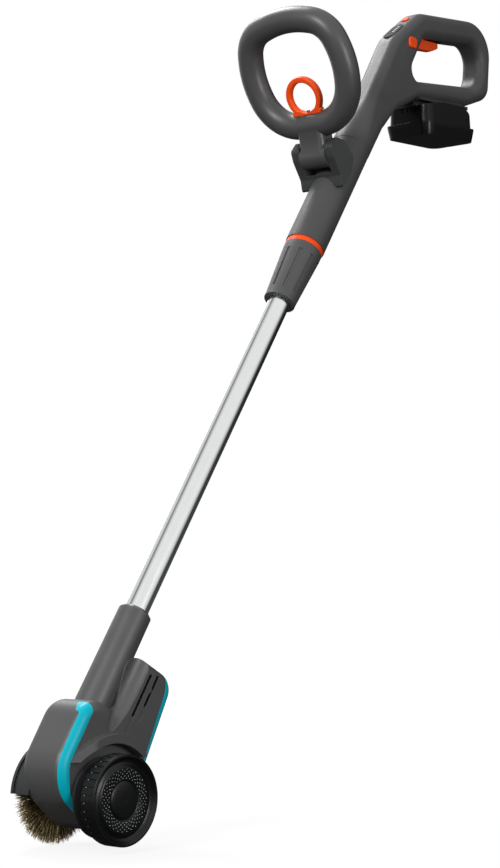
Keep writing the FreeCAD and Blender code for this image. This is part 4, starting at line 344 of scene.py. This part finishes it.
def wire_tree(wire, material):
    """Build the tree that sets the wires round the disc."""
    tree = bpy.data.node_groups.new("brush_wires", "GeometryNodeTree")
    for name, kind, value in (
        ("Count", "NodeSocketInt", wire_count), ("Root radius", "NodeSocketFloat", wire_root),
        ("Near side", "NodeSocketFloat", ring_high.x + near_room),
        ("Far side", "NodeSocketFloat", ring_low.x - far_room), ("Seed", "NodeSocketInt", 7),
    ):
        tree.interface.new_socket(name, in_out="INPUT", socket_type=kind).default_value = value
    tree.interface.new_socket("Mesh", in_out="OUTPUT", socket_type="NodeSocketGeometry")
    given = add(tree, "NodeGroupInput")

    def chance(low, high, offset):
        """Give one random number per wire."""
        seed = add(tree, "ShaderNodeMath", {1: offset}, {0: given.outputs["Seed"]}, operation="ADD")
        node = add(tree, "FunctionNodeRandomValue", None, {"Seed": seed.outputs[0]}, data_type="FLOAT")
        for socket, value in (("Min", low), ("Max", high)):
            target = [s for s in node.inputs if s.name == socket and s.enabled][0]
            if isinstance(value, float):
                target.default_value = value
            else:
                tree.links.new(value, target)
        return [s for s in node.outputs if s.enabled][0]

    points = add(tree, "GeometryNodePoints", None, {"Count": given.outputs["Count"]})
    turn = chance(0.0, math.tau, 1)
    across = chance(given.outputs["Far side"], given.outputs["Near side"], 2)
    sine = add(tree, "ShaderNodeMath", None, {0: turn}, operation="SINE")
    cosine = add(tree, "ShaderNodeMath", None, {0: turn}, operation="COSINE")
    across_core = add(
        tree, "ShaderNodeMapRange",
        {
            "From Min": ring_low.x, "From Max": ring_high.x,
            "To Min": -core_half_width, "To Max": core_half_width
        },
        {"Value": across}
    )
    middle = (ring_low.x + ring_high.x) / 2
    root_x = add(tree, "ShaderNodeMath", {1: middle}, {0: across_core.outputs["Result"]}, operation="ADD")
    root_y = add(
        tree, "ShaderNodeMath", None, {0: sine.outputs[0], 1: given.outputs["Root radius"]},
        operation="MULTIPLY"
    )
    root_z = add(
        tree, "ShaderNodeMath", {2: axle_height}, {0: cosine.outputs[0], 1: given.outputs["Root radius"]},
        operation="MULTIPLY_ADD"
    )
    root = add(
        tree, "ShaderNodeCombineXYZ", None,
        {"X": root_x.outputs[0], "Y": root_y.outputs[0], "Z": root_z.outputs[0]}
    )
    # Each wire leans from its root on the core to its own place across the brush, and a little round
    lean = add(tree, "ShaderNodeMath", None, {0: across, 1: root_x.outputs[0]}, operation="SUBTRACT")
    lean_share = add(
        tree, "ShaderNodeMath", {1: brush_reach - wire_root}, {0: lean.outputs[0]}, operation="DIVIDE"
    )
    stray = add(
        tree, "ShaderNodeMath", None, {0: turn, 1: chance(-stray_turn, stray_turn, 3)}, operation="ADD"
    )
    out_y = add(tree, "ShaderNodeMath", None, {0: stray.outputs[0]}, operation="SINE")
    out_z = add(tree, "ShaderNodeMath", None, {0: stray.outputs[0]}, operation="COSINE")
    outward = add(
        tree, "ShaderNodeCombineXYZ", None,
        {"X": lean_share.outputs[0], "Y": out_y.outputs[0], "Z": out_z.outputs[0]}
    )
    facing = add(tree, "FunctionNodeAlignRotationToVector", None, {"Vector": outward.outputs[0]}, axis="Z")
    spin = add(
        tree, "FunctionNodeRotateRotation", None, {"Rotation": facing.outputs["Rotation"]},
        rotation_space="LOCAL"
    )
    twist = add(tree, "ShaderNodeCombineXYZ", None, {"Z": chance(0.0, math.tau, 4)})
    twisted = add(tree, "FunctionNodeEulerToRotation", None, {"Euler": twist.outputs[0]})
    tree.links.new(twisted.outputs[0], spin.inputs["Rotate By"])
    moved = add(
        tree, "GeometryNodeSetPosition", None, {"Geometry": points.outputs[0], "Position": root.outputs[0]}
    )
    long = chance(short_share, long_share, 5)
    size = add(tree, "ShaderNodeCombineXYZ", {"X": 1.0, "Y": 1.0}, {"Z": long})
    source = add(tree, "GeometryNodeObjectInfo", {"Object": wire})
    placed = add(
        tree, "GeometryNodeInstanceOnPoints", None,
        {"Points": moved.outputs[0], "Instance": source.outputs["Geometry"],
         "Rotation": spin.outputs["Rotation"], "Scale": size.outputs[0]}
    )
    shade = add(
        tree, "GeometryNodeStoreNamedAttribute", {"Name": "wire_shade"}, {"Geometry": placed.outputs[0]},
        data_type="FLOAT", domain="INSTANCE"
    )
    tree.links.new(chance(0.0, 1.0, 6), [s for s in shade.inputs if s.name == "Value" and s.enabled][0])
    whole = add(tree, "GeometryNodeRealizeInstances", None, {"Geometry": shade.outputs[0]})
    finished = add(tree, "GeometryNodeSetMaterial", {"Material": material}, {"Geometry": whole.outputs[0]})
    add(tree, "NodeGroupOutput", None, {"Mesh": finished.outputs[0]})
    return tree


def grown(name, tree):
    """Run a tree on an empty mesh and keep its result as a plain piece."""
    start = bpy.data.objects.new(name + "_start", bpy.data.meshes.new(name + "_start"))
    scene.collection.objects.link(start)
    maker = start.modifiers.new("maker", "NODES")
    maker.node_group = tree
    bpy.context.view_layer.update()
    result = bpy.data.meshes.new_from_object(start.evaluated_get(bpy.context.evaluated_depsgraph_get()))
    bpy.data.objects.remove(start)
    result.name = name
    piece = bpy.data.objects.new(name, result)
    scene.collection.objects.link(piece)
    return piece


# Brass-coated crimped steel wire: darker brown towards the root as painted shade among the crowded wires,
# straw bright at the tips where the paving rubs it
wire_brass, wire_nodes, wire_place = new_material("brass_coated_wire")
wire_shade = add(wire_nodes, "ShaderNodeAttribute", attribute_name="wire_shade").outputs["Fac"]
wire_axis = add(
    wire_nodes, "ShaderNodeVectorMath", {1: (0.0, 0.0, axle_height)}, {0: wire_place}, operation="SUBTRACT"
)
wire_flat = add(
    wire_nodes, "ShaderNodeVectorMath", {1: (0.0, 1.0, 1.0)}, {0: wire_axis.outputs["Vector"]},
    operation="MULTIPLY"
)
wire_reach = add(
    wire_nodes, "ShaderNodeVectorMath", None, {0: wire_flat.outputs["Vector"]}, operation="LENGTH"
)
# The ramp runs from the painted shade at the root to the tips rubbed bright by the paving
shade_and_wear_from = 44 * mm
shade_and_wear_to = brush_reach - 2 * mm
wire_out = add(
    wire_nodes, "ShaderNodeMapRange", {"From Min": shade_and_wear_from, "From Max": shade_and_wear_to},
    {"Value": wire_reach.outputs["Value"]}
)
wire_base = add(
    wire_nodes, "ShaderNodeMix", {6: to_linear("#5e4c2e"), 7: to_linear("#d2ba84")}, {0: wire_shade},
    data_type="RGBA"
)
wire_tip = add(
    wire_nodes, "ShaderNodeMix", {6: to_linear("#8d764a"), 7: to_linear("#fff0c4")}, {0: wire_shade},
    data_type="RGBA"
)
wire_tone = add(
    wire_nodes, "ShaderNodeMix", None,
    {0: wire_out.outputs["Result"], 6: wire_base.outputs[2], 7: wire_tip.outputs[2]}, data_type="RGBA"
)
wire_grain_size = 0.8 * mm
wire_grain = add(wire_nodes, "ShaderNodeTexNoise", {"Scale": 1 / wire_grain_size}, {"Vector": wire_place})
wire_bump = add(
    wire_nodes, "ShaderNodeBump", {"Strength": 0.4, "Distance": line_depth},
    {"Height": wire_grain.outputs["Fac"]}
)
wire_rough = add(
    wire_nodes, "ShaderNodeMapRange", {"To Min": 0.34, "To Max": 0.55}, {"Value": wire_grain.outputs["Fac"]}
)
close_material(wire_nodes, {"Metallic": 0.40}, {
    "Base Color": wire_tone.outputs[2], "Roughness": wire_rough.outputs["Result"],
    "Normal": wire_bump.outputs["Normal"]
})
one_wire = crimped_wire()
brush_wires = grown("brush_wires", wire_tree(one_wire, wire_brass))
bpy.data.objects.remove(one_wire)
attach(brush_wires, "brush")
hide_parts("bristle_ring")

# Guide wheel: a black polypropylene wheel with a notched tread, free on a steel stub, with a
# pressed-in hub cap. Five staggered rings of small dots stand on its outer face.
# Moulded polypropylene, polished on the face: black with a soft wide gloss
wheel_polypropylene = moulded("polished_black_polypropylene", "#070808", "#0e0f0f", 0.28, 0.40, 0.8, 0.18,
                              values={"Specular IOR Level": 0.3})
dress(wheel_polypropylene, "wheel", "hub_cap")
wheel_low, wheel_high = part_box("wheel")
wheel_radius = (wheel_high.z - wheel_low.z) / 2
wheel_width = wheel_high.x - wheel_low.x
wheel_centre = (wheel_low.z + wheel_high.z) / 2
dot_face = wheel_low.x + wheel_width * 0.865
dot_sink = 0.06 * mm
dot_height = 0.55 * mm
dot_radius = 0.68 * mm
dot_rings = 5
dots_round = 30
dot_first_radius = 25.2 * mm
dot_pitch = 2.5 * mm
dome_sides = 8
dome_rings = ((1.0, 0.0), (0.86, 0.55), (0.5, 0.9))
tread_count = 36
tread_point_radius = 0.75 * mm
tread_point_height = 0.5 * mm
tread_point_ring = wheel_radius - 0.6 * mm
tread_point_first = wheel_low.x + wheel_width * 0.28
tread_point_step = wheel_width * 0.36


def low_dome(radius, height):
    """Make a low dome with its foot on the plane X = 0, facing along +X."""
    mesh = bpy.data.meshes.new("low_dome")
    shape = bmesh.new()
    rings = []
    for out, up in dome_rings:
        ring = []
        for side in range(dome_sides):
            turn = side * math.tau / dome_sides
            ring.append(shape.verts.new((
                height * up, radius * out * math.cos(turn), radius * out * math.sin(turn)
            )))
        rings.append(ring)
    for low, high in zip(rings, rings[1:]):
        for side in range(dome_sides):
            after = (side + 1) % dome_sides
            shape.faces.new((low[side], low[after], high[after], high[side]))
    shape.faces.new(tuple(rings[-1]))
    shape.faces.new(tuple(reversed(rings[0])))
    for face in shape.faces:
        face.smooth = len(face.verts) == 4
    shape.to_mesh(mesh)
    shape.free()
    return bpy.data.objects.new("low_dome", mesh)


def ring_tree(name, shape, material, sizes):
    """Build a tree that sets a shape in rings about the wheel's axis, every other one half a step round."""
    tree = bpy.data.node_groups.new(name, "GeometryNodeTree")
    for label, kind, value in (
        ("Rings", "NodeSocketInt", sizes["rings"]), ("Round", "NodeSocketInt", sizes["round"]),
        ("First radius", "NodeSocketFloat", sizes["first"]), ("Pitch", "NodeSocketFloat", sizes["pitch"]),
        ("First place", "NodeSocketFloat", sizes["place"]), ("Place step", "NodeSocketFloat", sizes["step"]),
    ):
        tree.interface.new_socket(label, in_out="INPUT", socket_type=kind).default_value = value
    tree.interface.new_socket("Mesh", in_out="OUTPUT", socket_type="NodeSocketGeometry")
    given = add(tree, "NodeGroupInput")

    total = add(
        tree, "ShaderNodeMath", None, {0: given.outputs["Rings"], 1: given.outputs["Round"]},
        operation="MULTIPLY"
    )
    points = add(tree, "GeometryNodePoints", None, {"Count": total.outputs[0]})
    index = add(tree, "GeometryNodeInputIndex").outputs[0]
    passed = add(tree, "ShaderNodeMath", None, {0: index, 1: given.outputs["Round"]}, operation="DIVIDE")
    ring = add(tree, "ShaderNodeMath", None, {0: passed.outputs[0]}, operation="FLOOR").outputs[0]
    odd = add(tree, "ShaderNodeMath", {1: 2.0}, {0: ring}, operation="MODULO")
    half = add(tree, "ShaderNodeMath", {1: 0.5}, {0: odd.outputs[0]}, operation="MULTIPLY")
    count = add(tree, "ShaderNodeMath", None, {0: index, 1: half.outputs[0]}, operation="ADD")
    turns = add(
        tree, "ShaderNodeMath", None, {0: count.outputs[0], 1: given.outputs["Round"]}, operation="DIVIDE"
    )
    angle = add(tree, "ShaderNodeMath", {1: math.tau}, {0: turns.outputs[0]}, operation="MULTIPLY")
    radius = add(
        tree, "ShaderNodeMath", None,
        {0: ring, 1: given.outputs["Pitch"], 2: given.outputs["First radius"]}, operation="MULTIPLY_ADD"
    )
    across = add(
        tree, "ShaderNodeMath", None,
        {0: ring, 1: given.outputs["Place step"], 2: given.outputs["First place"]},
        operation="MULTIPLY_ADD"
    )
    cosine = add(tree, "ShaderNodeMath", None, {0: angle.outputs[0]}, operation="COSINE")
    sine = add(tree, "ShaderNodeMath", None, {0: angle.outputs[0]}, operation="SINE")
    place_y = add(
        tree, "ShaderNodeMath", None, {0: radius.outputs[0], 1: cosine.outputs[0]}, operation="MULTIPLY"
    )
    place_z = add(
        tree, "ShaderNodeMath", {2: wheel_centre}, {0: radius.outputs[0], 1: sine.outputs[0]},
        operation="MULTIPLY_ADD"
    )
    place = add(
        tree, "ShaderNodeCombineXYZ", None,
        {"X": across.outputs[0], "Y": place_y.outputs[0], "Z": place_z.outputs[0]}
    )
    moved = add(
        tree, "GeometryNodeSetPosition", None, {"Geometry": points.outputs[0], "Position": place.outputs[0]}
    )
    source = add(tree, "GeometryNodeObjectInfo", {"Object": shape})
    placed = add(
        tree, "GeometryNodeInstanceOnPoints", None,
        {"Points": moved.outputs[0], "Instance": source.outputs["Geometry"]}
    )
    if sizes["outward"]:
        above = add(tree, "ShaderNodeMath", {1: wheel_centre}, {0: place_z.outputs[0]}, operation="SUBTRACT")
        outward = add(
            tree, "ShaderNodeCombineXYZ", None, {"Y": place_y.outputs[0], "Z": above.outputs[0]}
        )
        facing = add(
            tree, "FunctionNodeAlignRotationToVector", None, {"Vector": outward.outputs[0]}, axis="X"
        )
        tree.links.new(facing.outputs["Rotation"], placed.inputs["Rotation"])
    whole = add(tree, "GeometryNodeRealizeInstances", None, {"Geometry": placed.outputs[0]})
    finished = add(tree, "GeometryNodeSetMaterial", {"Material": material}, {"Geometry": whole.outputs[0]})
    add(tree, "NodeGroupOutput", None, {"Mesh": finished.outputs[0]})
    return tree


# The dots are the same black plastic, painted pale grey all over as a painted highlight for the glint on each
# small dome
glint_painted_polypropylene = moulded("black_polypropylene_painted_glint", "#8a8c8c", "#b4b6b6", 0.22, 0.34, 0.8, 0.10)
one_dot = low_dome(dot_radius, dot_height)
wheel_dots = grown("wheel_dots", ring_tree("wheel_dots", one_dot, glint_painted_polypropylene, {
    "rings": dot_rings, "round": dots_round, "first": dot_first_radius, "pitch": dot_pitch,
    "place": dot_face - dot_sink, "step": 0.0, "outward": False,
}))
bpy.data.objects.remove(one_dot)
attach(wheel_dots, "wheel")
one_point = low_dome(tread_point_radius, tread_point_height)
tread_points = grown("tread_points", ring_tree("tread_points", one_point, glint_painted_polypropylene, {
    "rings": 2, "round": tread_count, "first": tread_point_ring, "pitch": 0.0,
    "place": tread_point_first, "step": tread_point_step, "outward": True,
}))
bpy.data.objects.remove(one_point)
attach(tread_points, "wheel")

# Tube: drawn aluminium, clear anodised, pushed into the head's socket and clamped there. A
# black nylon glide on its top end runs inside the sleeve, and the sleeve is moulded round it.
# Anodised aluminium: silver white with fine lines along the tube and no yellow
tube_lean = math.radians(33.64)
drawn_lines = (1.0, 1.0, 0.03)
anodised_tube = metal(
    "clear_anodised_drawn_aluminium", "#e6e9e8", "#eff1f0", 0.12, 0.20, drawn_lines, 0.03, tube_lean
)
dress(anodised_tube, "tube")
# Nylon glide: black and plain, polished by sliding
glide_nylon = moulded("moulded_black_nylon", "#1f2020", "#2a2b2b", 0.30, 0.42, 0.7, 0.15)
dress(glide_nylon, "tube_glide", "grip_sleeve")

# Twist collar and accent ring: the collar is grooved nylon that clamps the tube's length, and
# the ring above it is orange ABS, moulded on its own and snapped in between the two.
# Grooved nylon: dark even grey, a little duller than the handle above it
collar_nylon = moulded("grooved_nylon", "#4a4a4a", "#545454", 0.42, 0.54, 0.55, 0.30,
                       values={"Specular IOR Level": 0.36})
dress(collar_nylon, "twist_collar")
# Moulded ABS: strong orange red, satin, with a little depth where it is thick
orange_abs = moulded("satin_orange_abs", "#f84400", "#ff5a10", 0.34, 0.44, 0.7, 0.10, 0.4,
                     {"Specular IOR Level": 0.3})
dress(orange_abs, "accent_ring", "trigger", "lock_button", "power_button", "pull_ring")

# Handle: two nylon halves screwed together round the trigger and its switch, with the grip,
# the battery foot and the fork's seat in one moulding.
# Fine-grained nylon: dark grey, with a soft broad band of light along the ridge
handle_nylon = moulded("handle_nylon", "#474747", "#515151", 0.40, 0.52, 0.5, 0.25,
                       values={"Specular IOR Level": 0.28})
dress(handle_nylon, "handle_near", "handle_far")
dress(plated_steel, "handle_screws", "trigger_pin")
dress(glide_nylon, "trigger_switch", "guide_pipe")

# Charge display: a dark polished window let into the ridge, with four clear light lenses and a
# green board below it.
# Polished acrylic: black glass look with sharp reflections
window_acrylic = moulded("polished_dark_acrylic", "#141516", "#1a1b1c", 0.16, 0.24, 1.2, 0.03,
                         values={"Specular IOR Level": 0.15})
dress(window_acrylic, "charge_panel")
# Clear polycarbonate over a pale diffuser: milky, bright, glossy
lens_polycarbonate = moulded("milky_polycarbonate", "#c9cecd", "#e3e7e6", 0.14, 0.22, 0.9, 0.04, 0.2)
dress(lens_polycarbonate, "charge_lenses")
# Solder-masked glass fibre board: green, with the weave just showing
board_mask = moulded("solder_masked_board", "#1d5a36", "#2c7247", 0.30, 0.45, 0.5, 0.35)
dress(board_mask, "control_board", "battery_board")

# Springs of the trigger, the lock button and the pull ring: coiled from hard-drawn steel wire,
# and seated between the piece they push and a wall behind it.
# Oiled spring wire: dull dark steel, with a thin bright line on each turn
spring_wire = metal("oiled_spring_wire", "#6c6e6e", "#858786", 0.22, 0.36, (0.3, 0.3, 0.3), 0.15)
dress(spring_wire, "trigger_spring", "lock_spring", "ring_spring")

# Battery: two glossy black shells over a row of cells, hung from a T rail on the handle's foot
# by its top groove, and held by a catch at its back.
# Polished ABS with a faint blue depth: almost black with a clean highlight on the round corner
battery_abs = moulded("glossy_black_abs", "#020202", "#040405", 0.27, 0.35, 0.9, 0.06, 0.6,
                      {"Specular IOR Level": 0.22})
dress(battery_abs, "battery_top", "battery_bottom", "battery_latch")
dress(glide_nylon, "battery_shoe", "battery_contacts")
# Brass contact blades: yellow metal with wiping marks
contact_brass = metal("wiped_contact_brass", "#a98a45", "#c4a45a", 0.22, 0.36, (1.0, 0.1, 1.0), 0.2)
dress(contact_brass, "shoe_blades")
# Shrink sleeve on the cells: thin blue film, soft gloss
cell_film = moulded("shrunk_blue_sleeve", "#1f4f86", "#2a62a0", 0.22, 0.34, 0.9, 0.08)
dress(cell_film, "battery_cells")

# Hand loop and its joint: a hollow loop of grained plastic tilts on a steel bolt between the
# fork's ears. The orange ring lifts a pin out of the notched disc.
dress(plated_steel, "hinge_bolt", "detent_disc", "lock_pin")
dress(glide_nylon, "hinge_bush")
# Fork: unpainted dark nylon, a little duller than the handle
fork_nylon = moulded("dark_fork_nylon", "#323333", "#3b3c3c", 0.42, 0.54, 0.55, 0.30)
dress(fork_nylon, "loop_yoke")
dimple_pitch = 13.0 * mm
dimple_radius = 0.75 * mm
dimple_depth = 0.5 * mm
loop_cloud_size = 42 * mm
loop_grain_size = 0.55 * mm
near_from = 10 * mm
near_to = 45 * mm
high_from = 940 * mm
high_to = 985 * mm


def dimpled(name, deep, pale):
    """Make the loop's grained plastic with a few small dimples on its top and near side, each painted near
    black as shade in its hollow.
    """
    material, tree, place = new_material(name)
    cloud = add(tree, "ShaderNodeTexNoise", {"Scale": 1 / loop_cloud_size, "Detail": 4.0}, {"Vector": place})
    grain = add(tree, "ShaderNodeTexNoise", {"Scale": 1 / loop_grain_size, "Detail": 2.0}, {"Vector": place})
    cells = add(
        tree, "ShaderNodeTexVoronoi", {"Scale": 1 / dimple_pitch, "Randomness": 0.7}, {"Vector": place}
    )
    share = dimple_radius / dimple_pitch
    pit = add(
        tree, "ShaderNodeMapRange", {"From Min": share, "From Max": share * 0.55},
        {"Value": cells.outputs["Distance"]}
    )
    parts = add(tree, "ShaderNodeSeparateXYZ", None, {"Vector": place})
    near = add(
        tree, "ShaderNodeMapRange", {"From Min": near_from, "From Max": near_to},
        {"Value": parts.outputs["X"]}
    )
    high = add(
        tree, "ShaderNodeMapRange", {"From Min": high_from, "From Max": high_to},
        {"Value": parts.outputs["Z"]}
    )
    where = add(tree, "ShaderNodeMath", None, {0: near.outputs[0], 1: high.outputs[0]}, operation="MULTIPLY")
    pits = add(tree, "ShaderNodeMath", None, {0: where.outputs[0], 1: pit.outputs[0]}, operation="MULTIPLY")
    soft = worn_edges(tree, 0.5)[1]
    plain = add(
        tree, "ShaderNodeMix", {6: to_linear(deep), 7: to_linear(pale)}, {0: cloud.outputs["Fac"]},
        data_type="RGBA"
    )
    # Each dimple is painted near black: painted shade in its hollow, over the sunk bump
    tone = add(
        tree, "ShaderNodeMix", {7: to_linear("#1e1f1f")}, {0: pits.outputs[0], 6: plain.outputs[2]},
        data_type="RGBA"
    )
    rough = add(
        tree, "ShaderNodeMapRange", {"From Min": 0.3, "From Max": 0.7, "To Min": 0.34, "To Max": 0.46},
        {"Value": grain.outputs["Fac"]}
    )
    fine = add(
        tree, "ShaderNodeBump", {"Strength": 0.25, "Distance": grain_depth},
        {"Height": grain.outputs["Fac"], "Normal": soft}
    )
    sunk = add(
        tree, "ShaderNodeBump", {"Strength": 0.9, "Distance": dimple_depth},
        {"Height": pits.outputs[0], "Normal": fine.outputs["Normal"]}, invert=True
    )
    close_material(tree, {}, {
        "Base Color": tone.outputs[2], "Roughness": rough.outputs["Result"],
        "Normal": sunk.outputs["Normal"]
    })
    return material


# Grained plastic of the loop: a shade darker than the handle's grey, with painted shade in each dimple
loop_nylon = dimpled("dimpled_loop_nylon", "#434343", "#4d4d4d")
dress(loop_nylon, "hand_loop")

# Studio: a pale floor that runs out of sight, a soft lamp high on the left, a strip low behind it
# for the rims, and two lamps in front and on the right that keep the near sides readable.
floor_level = cad_low.z
floor_half = 6.0
floor_mesh = bpy.data.meshes.new("floor")
floor_mesh.from_pydata([
    (-floor_half, -floor_half, floor_level), (floor_half, -floor_half, floor_level),
    (floor_half, floor_half, floor_level), (-floor_half, floor_half, floor_level),
], [], [(0, 1, 2, 3)])
floor = bpy.data.objects.new("floor", floor_mesh)
scene.collection.objects.link(floor)
# Paper sweep: white to the camera apart from a soft shadow, dark grey to the object
paper, paper_nodes, paper_place = new_material("studio_paper")
paper_fibre_size = 3 * mm
paper_fibre = add(paper_nodes, "ShaderNodeTexNoise", {"Scale": 1 / paper_fibre_size}, {"Vector": paper_place})
paper_pale = add(
    paper_nodes, "ShaderNodeMix", {6: to_linear("#bcbcbc"), 7: to_linear("#c2c2c2")},
    {0: paper_fibre.outputs["Fac"]}, data_type="RGBA"
)
paper_seen = add(paper_nodes, "ShaderNodeLightPath").outputs["Is Camera Ray"]
paper_tone = add(
    paper_nodes, "ShaderNodeMix", {6: to_linear("#4a4a4a")}, {0: paper_seen, 7: paper_pale.outputs[2]},
    data_type="RGBA"
)
paper_matt = add(paper_nodes, "ShaderNodeBsdfDiffuse", None, {"Color": paper_tone.outputs[2]})
paper_white = add(paper_nodes, "ShaderNodeEmission", {"Color": (1.0, 1.0, 1.0, 1.0), "Strength": 1.09})
paper_far = add(paper_nodes, "ShaderNodeVectorMath", None, {0: paper_place}, operation="LENGTH")
paper_fade = add(
    paper_nodes, "ShaderNodeMapRange", {"From Min": 0.35, "From Max": 1.1, "To Min": 0.80, "To Max": 1.0},
    {"Value": paper_far.outputs["Value"]}
)
paper_share = add(
    paper_nodes, "ShaderNodeMath", None, {0: paper_seen, 1: paper_fade.outputs["Result"]},
    operation="MULTIPLY"
)
paper_mix = add(
    paper_nodes, "ShaderNodeMixShader", None,
    {0: paper_share.outputs[0], 1: paper_matt.outputs[0], 2: paper_white.outputs[0]}
)
add(paper_nodes, "ShaderNodeOutputMaterial", None, {"Surface": paper_mix.outputs[0]})
floor_mesh.materials.append(paper)


def soft_lamp(name, place, aim, width, height, power):
    """Add a large soft lamp that faces a point."""
    data = bpy.data.lights.new(name, "AREA")
    data.shape = "RECTANGLE"
    data.size = width
    data.size_y = height
    data.energy = power
    lamp = bpy.data.objects.new(name, data)
    lamp.location = place
    lamp.rotation_euler = (Vector(aim) - Vector(place)).to_track_quat("-Z", "Y").to_euler()
    scene.collection.objects.link(lamp)


soft_lamp("key_lamp", (-1.30, 0.70, 2.60), (0.0, 0.25, 0.55), 0.9, 0.9, 40)
soft_lamp("rim_lamp", (-2.00, 1.20, 1.40), (0.0, 0.25, 0.50), 0.5, 1.6, 4)
soft_lamp("front_lamp", (0.30, -2.70, 2.00), (0.0, 0.25, 0.50), 0.9, 0.9, 60)
soft_lamp("fill_lamp", (2.60, -0.10, 0.75), (0.0, 0.25, 0.50), 0.5, 0.6, 24)
# Polished pieces see a white sweep in front, a narrow dark gap on its left and a dark room on its
# right. Each stop is a share of the way round the tube from behind it, and how white the room is there
tube_axis = Vector((0.0, math.sin(tube_lean), math.cos(tube_lean)))
sweep_middle = Vector((0.7565, -0.5444, 0.3623))
sweep_left = sweep_middle.cross(tube_axis)
dark_room = ((0.0, 0.0), (0.22, 0.02), (0.25, 0.10))
white_sweep = ((0.31, 0.70), (0.36, 0.90), (0.62, 0.90), (0.68, 0.66))
dark_gap = ((0.715, 0.24), (0.745, 0.22))
white_wall = ((0.775, 0.74), (1.0, 0.78))
sweep_stops = dark_room + white_sweep + dark_gap + white_wall
key_side = (-0.50, -0.45, 0.74)
world = bpy.data.worlds.new("studio")
scene.world = world
world.use_nodes = True
sky = world.node_tree
sky.nodes.clear()
heading = add(sky, "ShaderNodeTexCoord").outputs["Generated"]
along_left = add(sky, "ShaderNodeVectorMath", {1: sweep_left}, {0: heading}, operation="DOT_PRODUCT")
along_middle = add(sky, "ShaderNodeVectorMath", {1: sweep_middle}, {0: heading}, operation="DOT_PRODUCT")
turned = add(
    sky, "ShaderNodeMath", None, {0: along_left.outputs["Value"], 1: along_middle.outputs["Value"]},
    operation="ARCTAN2"
)
turned_share = add(
    sky, "ShaderNodeMapRange", {"From Min": -math.pi, "From Max": math.pi}, {"Value": turned.outputs[0]}
)
sweep = add(sky, "ShaderNodeValToRGB", None, {"Fac": turned_share.outputs["Result"]})
stops = sweep.color_ramp.elements
stops[0].position, stops[1].position = sweep_stops[0][0], sweep_stops[-1][0]
for position, _ in sweep_stops[1:-1]:
    stops.new(position)
for stop, (position, strength) in zip(stops, sweep_stops):
    stop.color = (strength, strength, strength, 1.0)
toward_key = add(sky, "ShaderNodeVectorMath", {1: key_side}, {0: heading}, operation="DOT_PRODUCT")
room_strength = add(
    sky, "ShaderNodeMapRange", {"From Min": -0.6, "From Max": 1.0, "To Min": 0.12, "To Max": 1.12},
    {"Value": toward_key.outputs["Value"]}
)
room = add(
    sky, "ShaderNodeBackground", {"Color": to_linear("#d6d8d9")},
    {"Strength": room_strength.outputs["Result"]}
)
mirror = add(sky, "ShaderNodeBackground", {"Strength": 1.0}, {"Color": sweep.outputs["Color"]})
white = add(sky, "ShaderNodeBackground", {"Color": (1.0, 1.0, 1.0, 1.0), "Strength": 1.0})
path = add(sky, "ShaderNodeLightPath")
lit = add(
    sky, "ShaderNodeMixShader", None,
    {0: path.outputs["Is Glossy Ray"], 1: room.outputs[0], 2: mirror.outputs[0]}
)
sky_mix = add(
    sky, "ShaderNodeMixShader", None,
    {0: path.outputs["Is Camera Ray"], 1: lit.outputs[0], 2: white.outputs[0]}
)
add(sky, "ShaderNodeOutputWorld", None, {"Surface": sky_mix.outputs[0]})
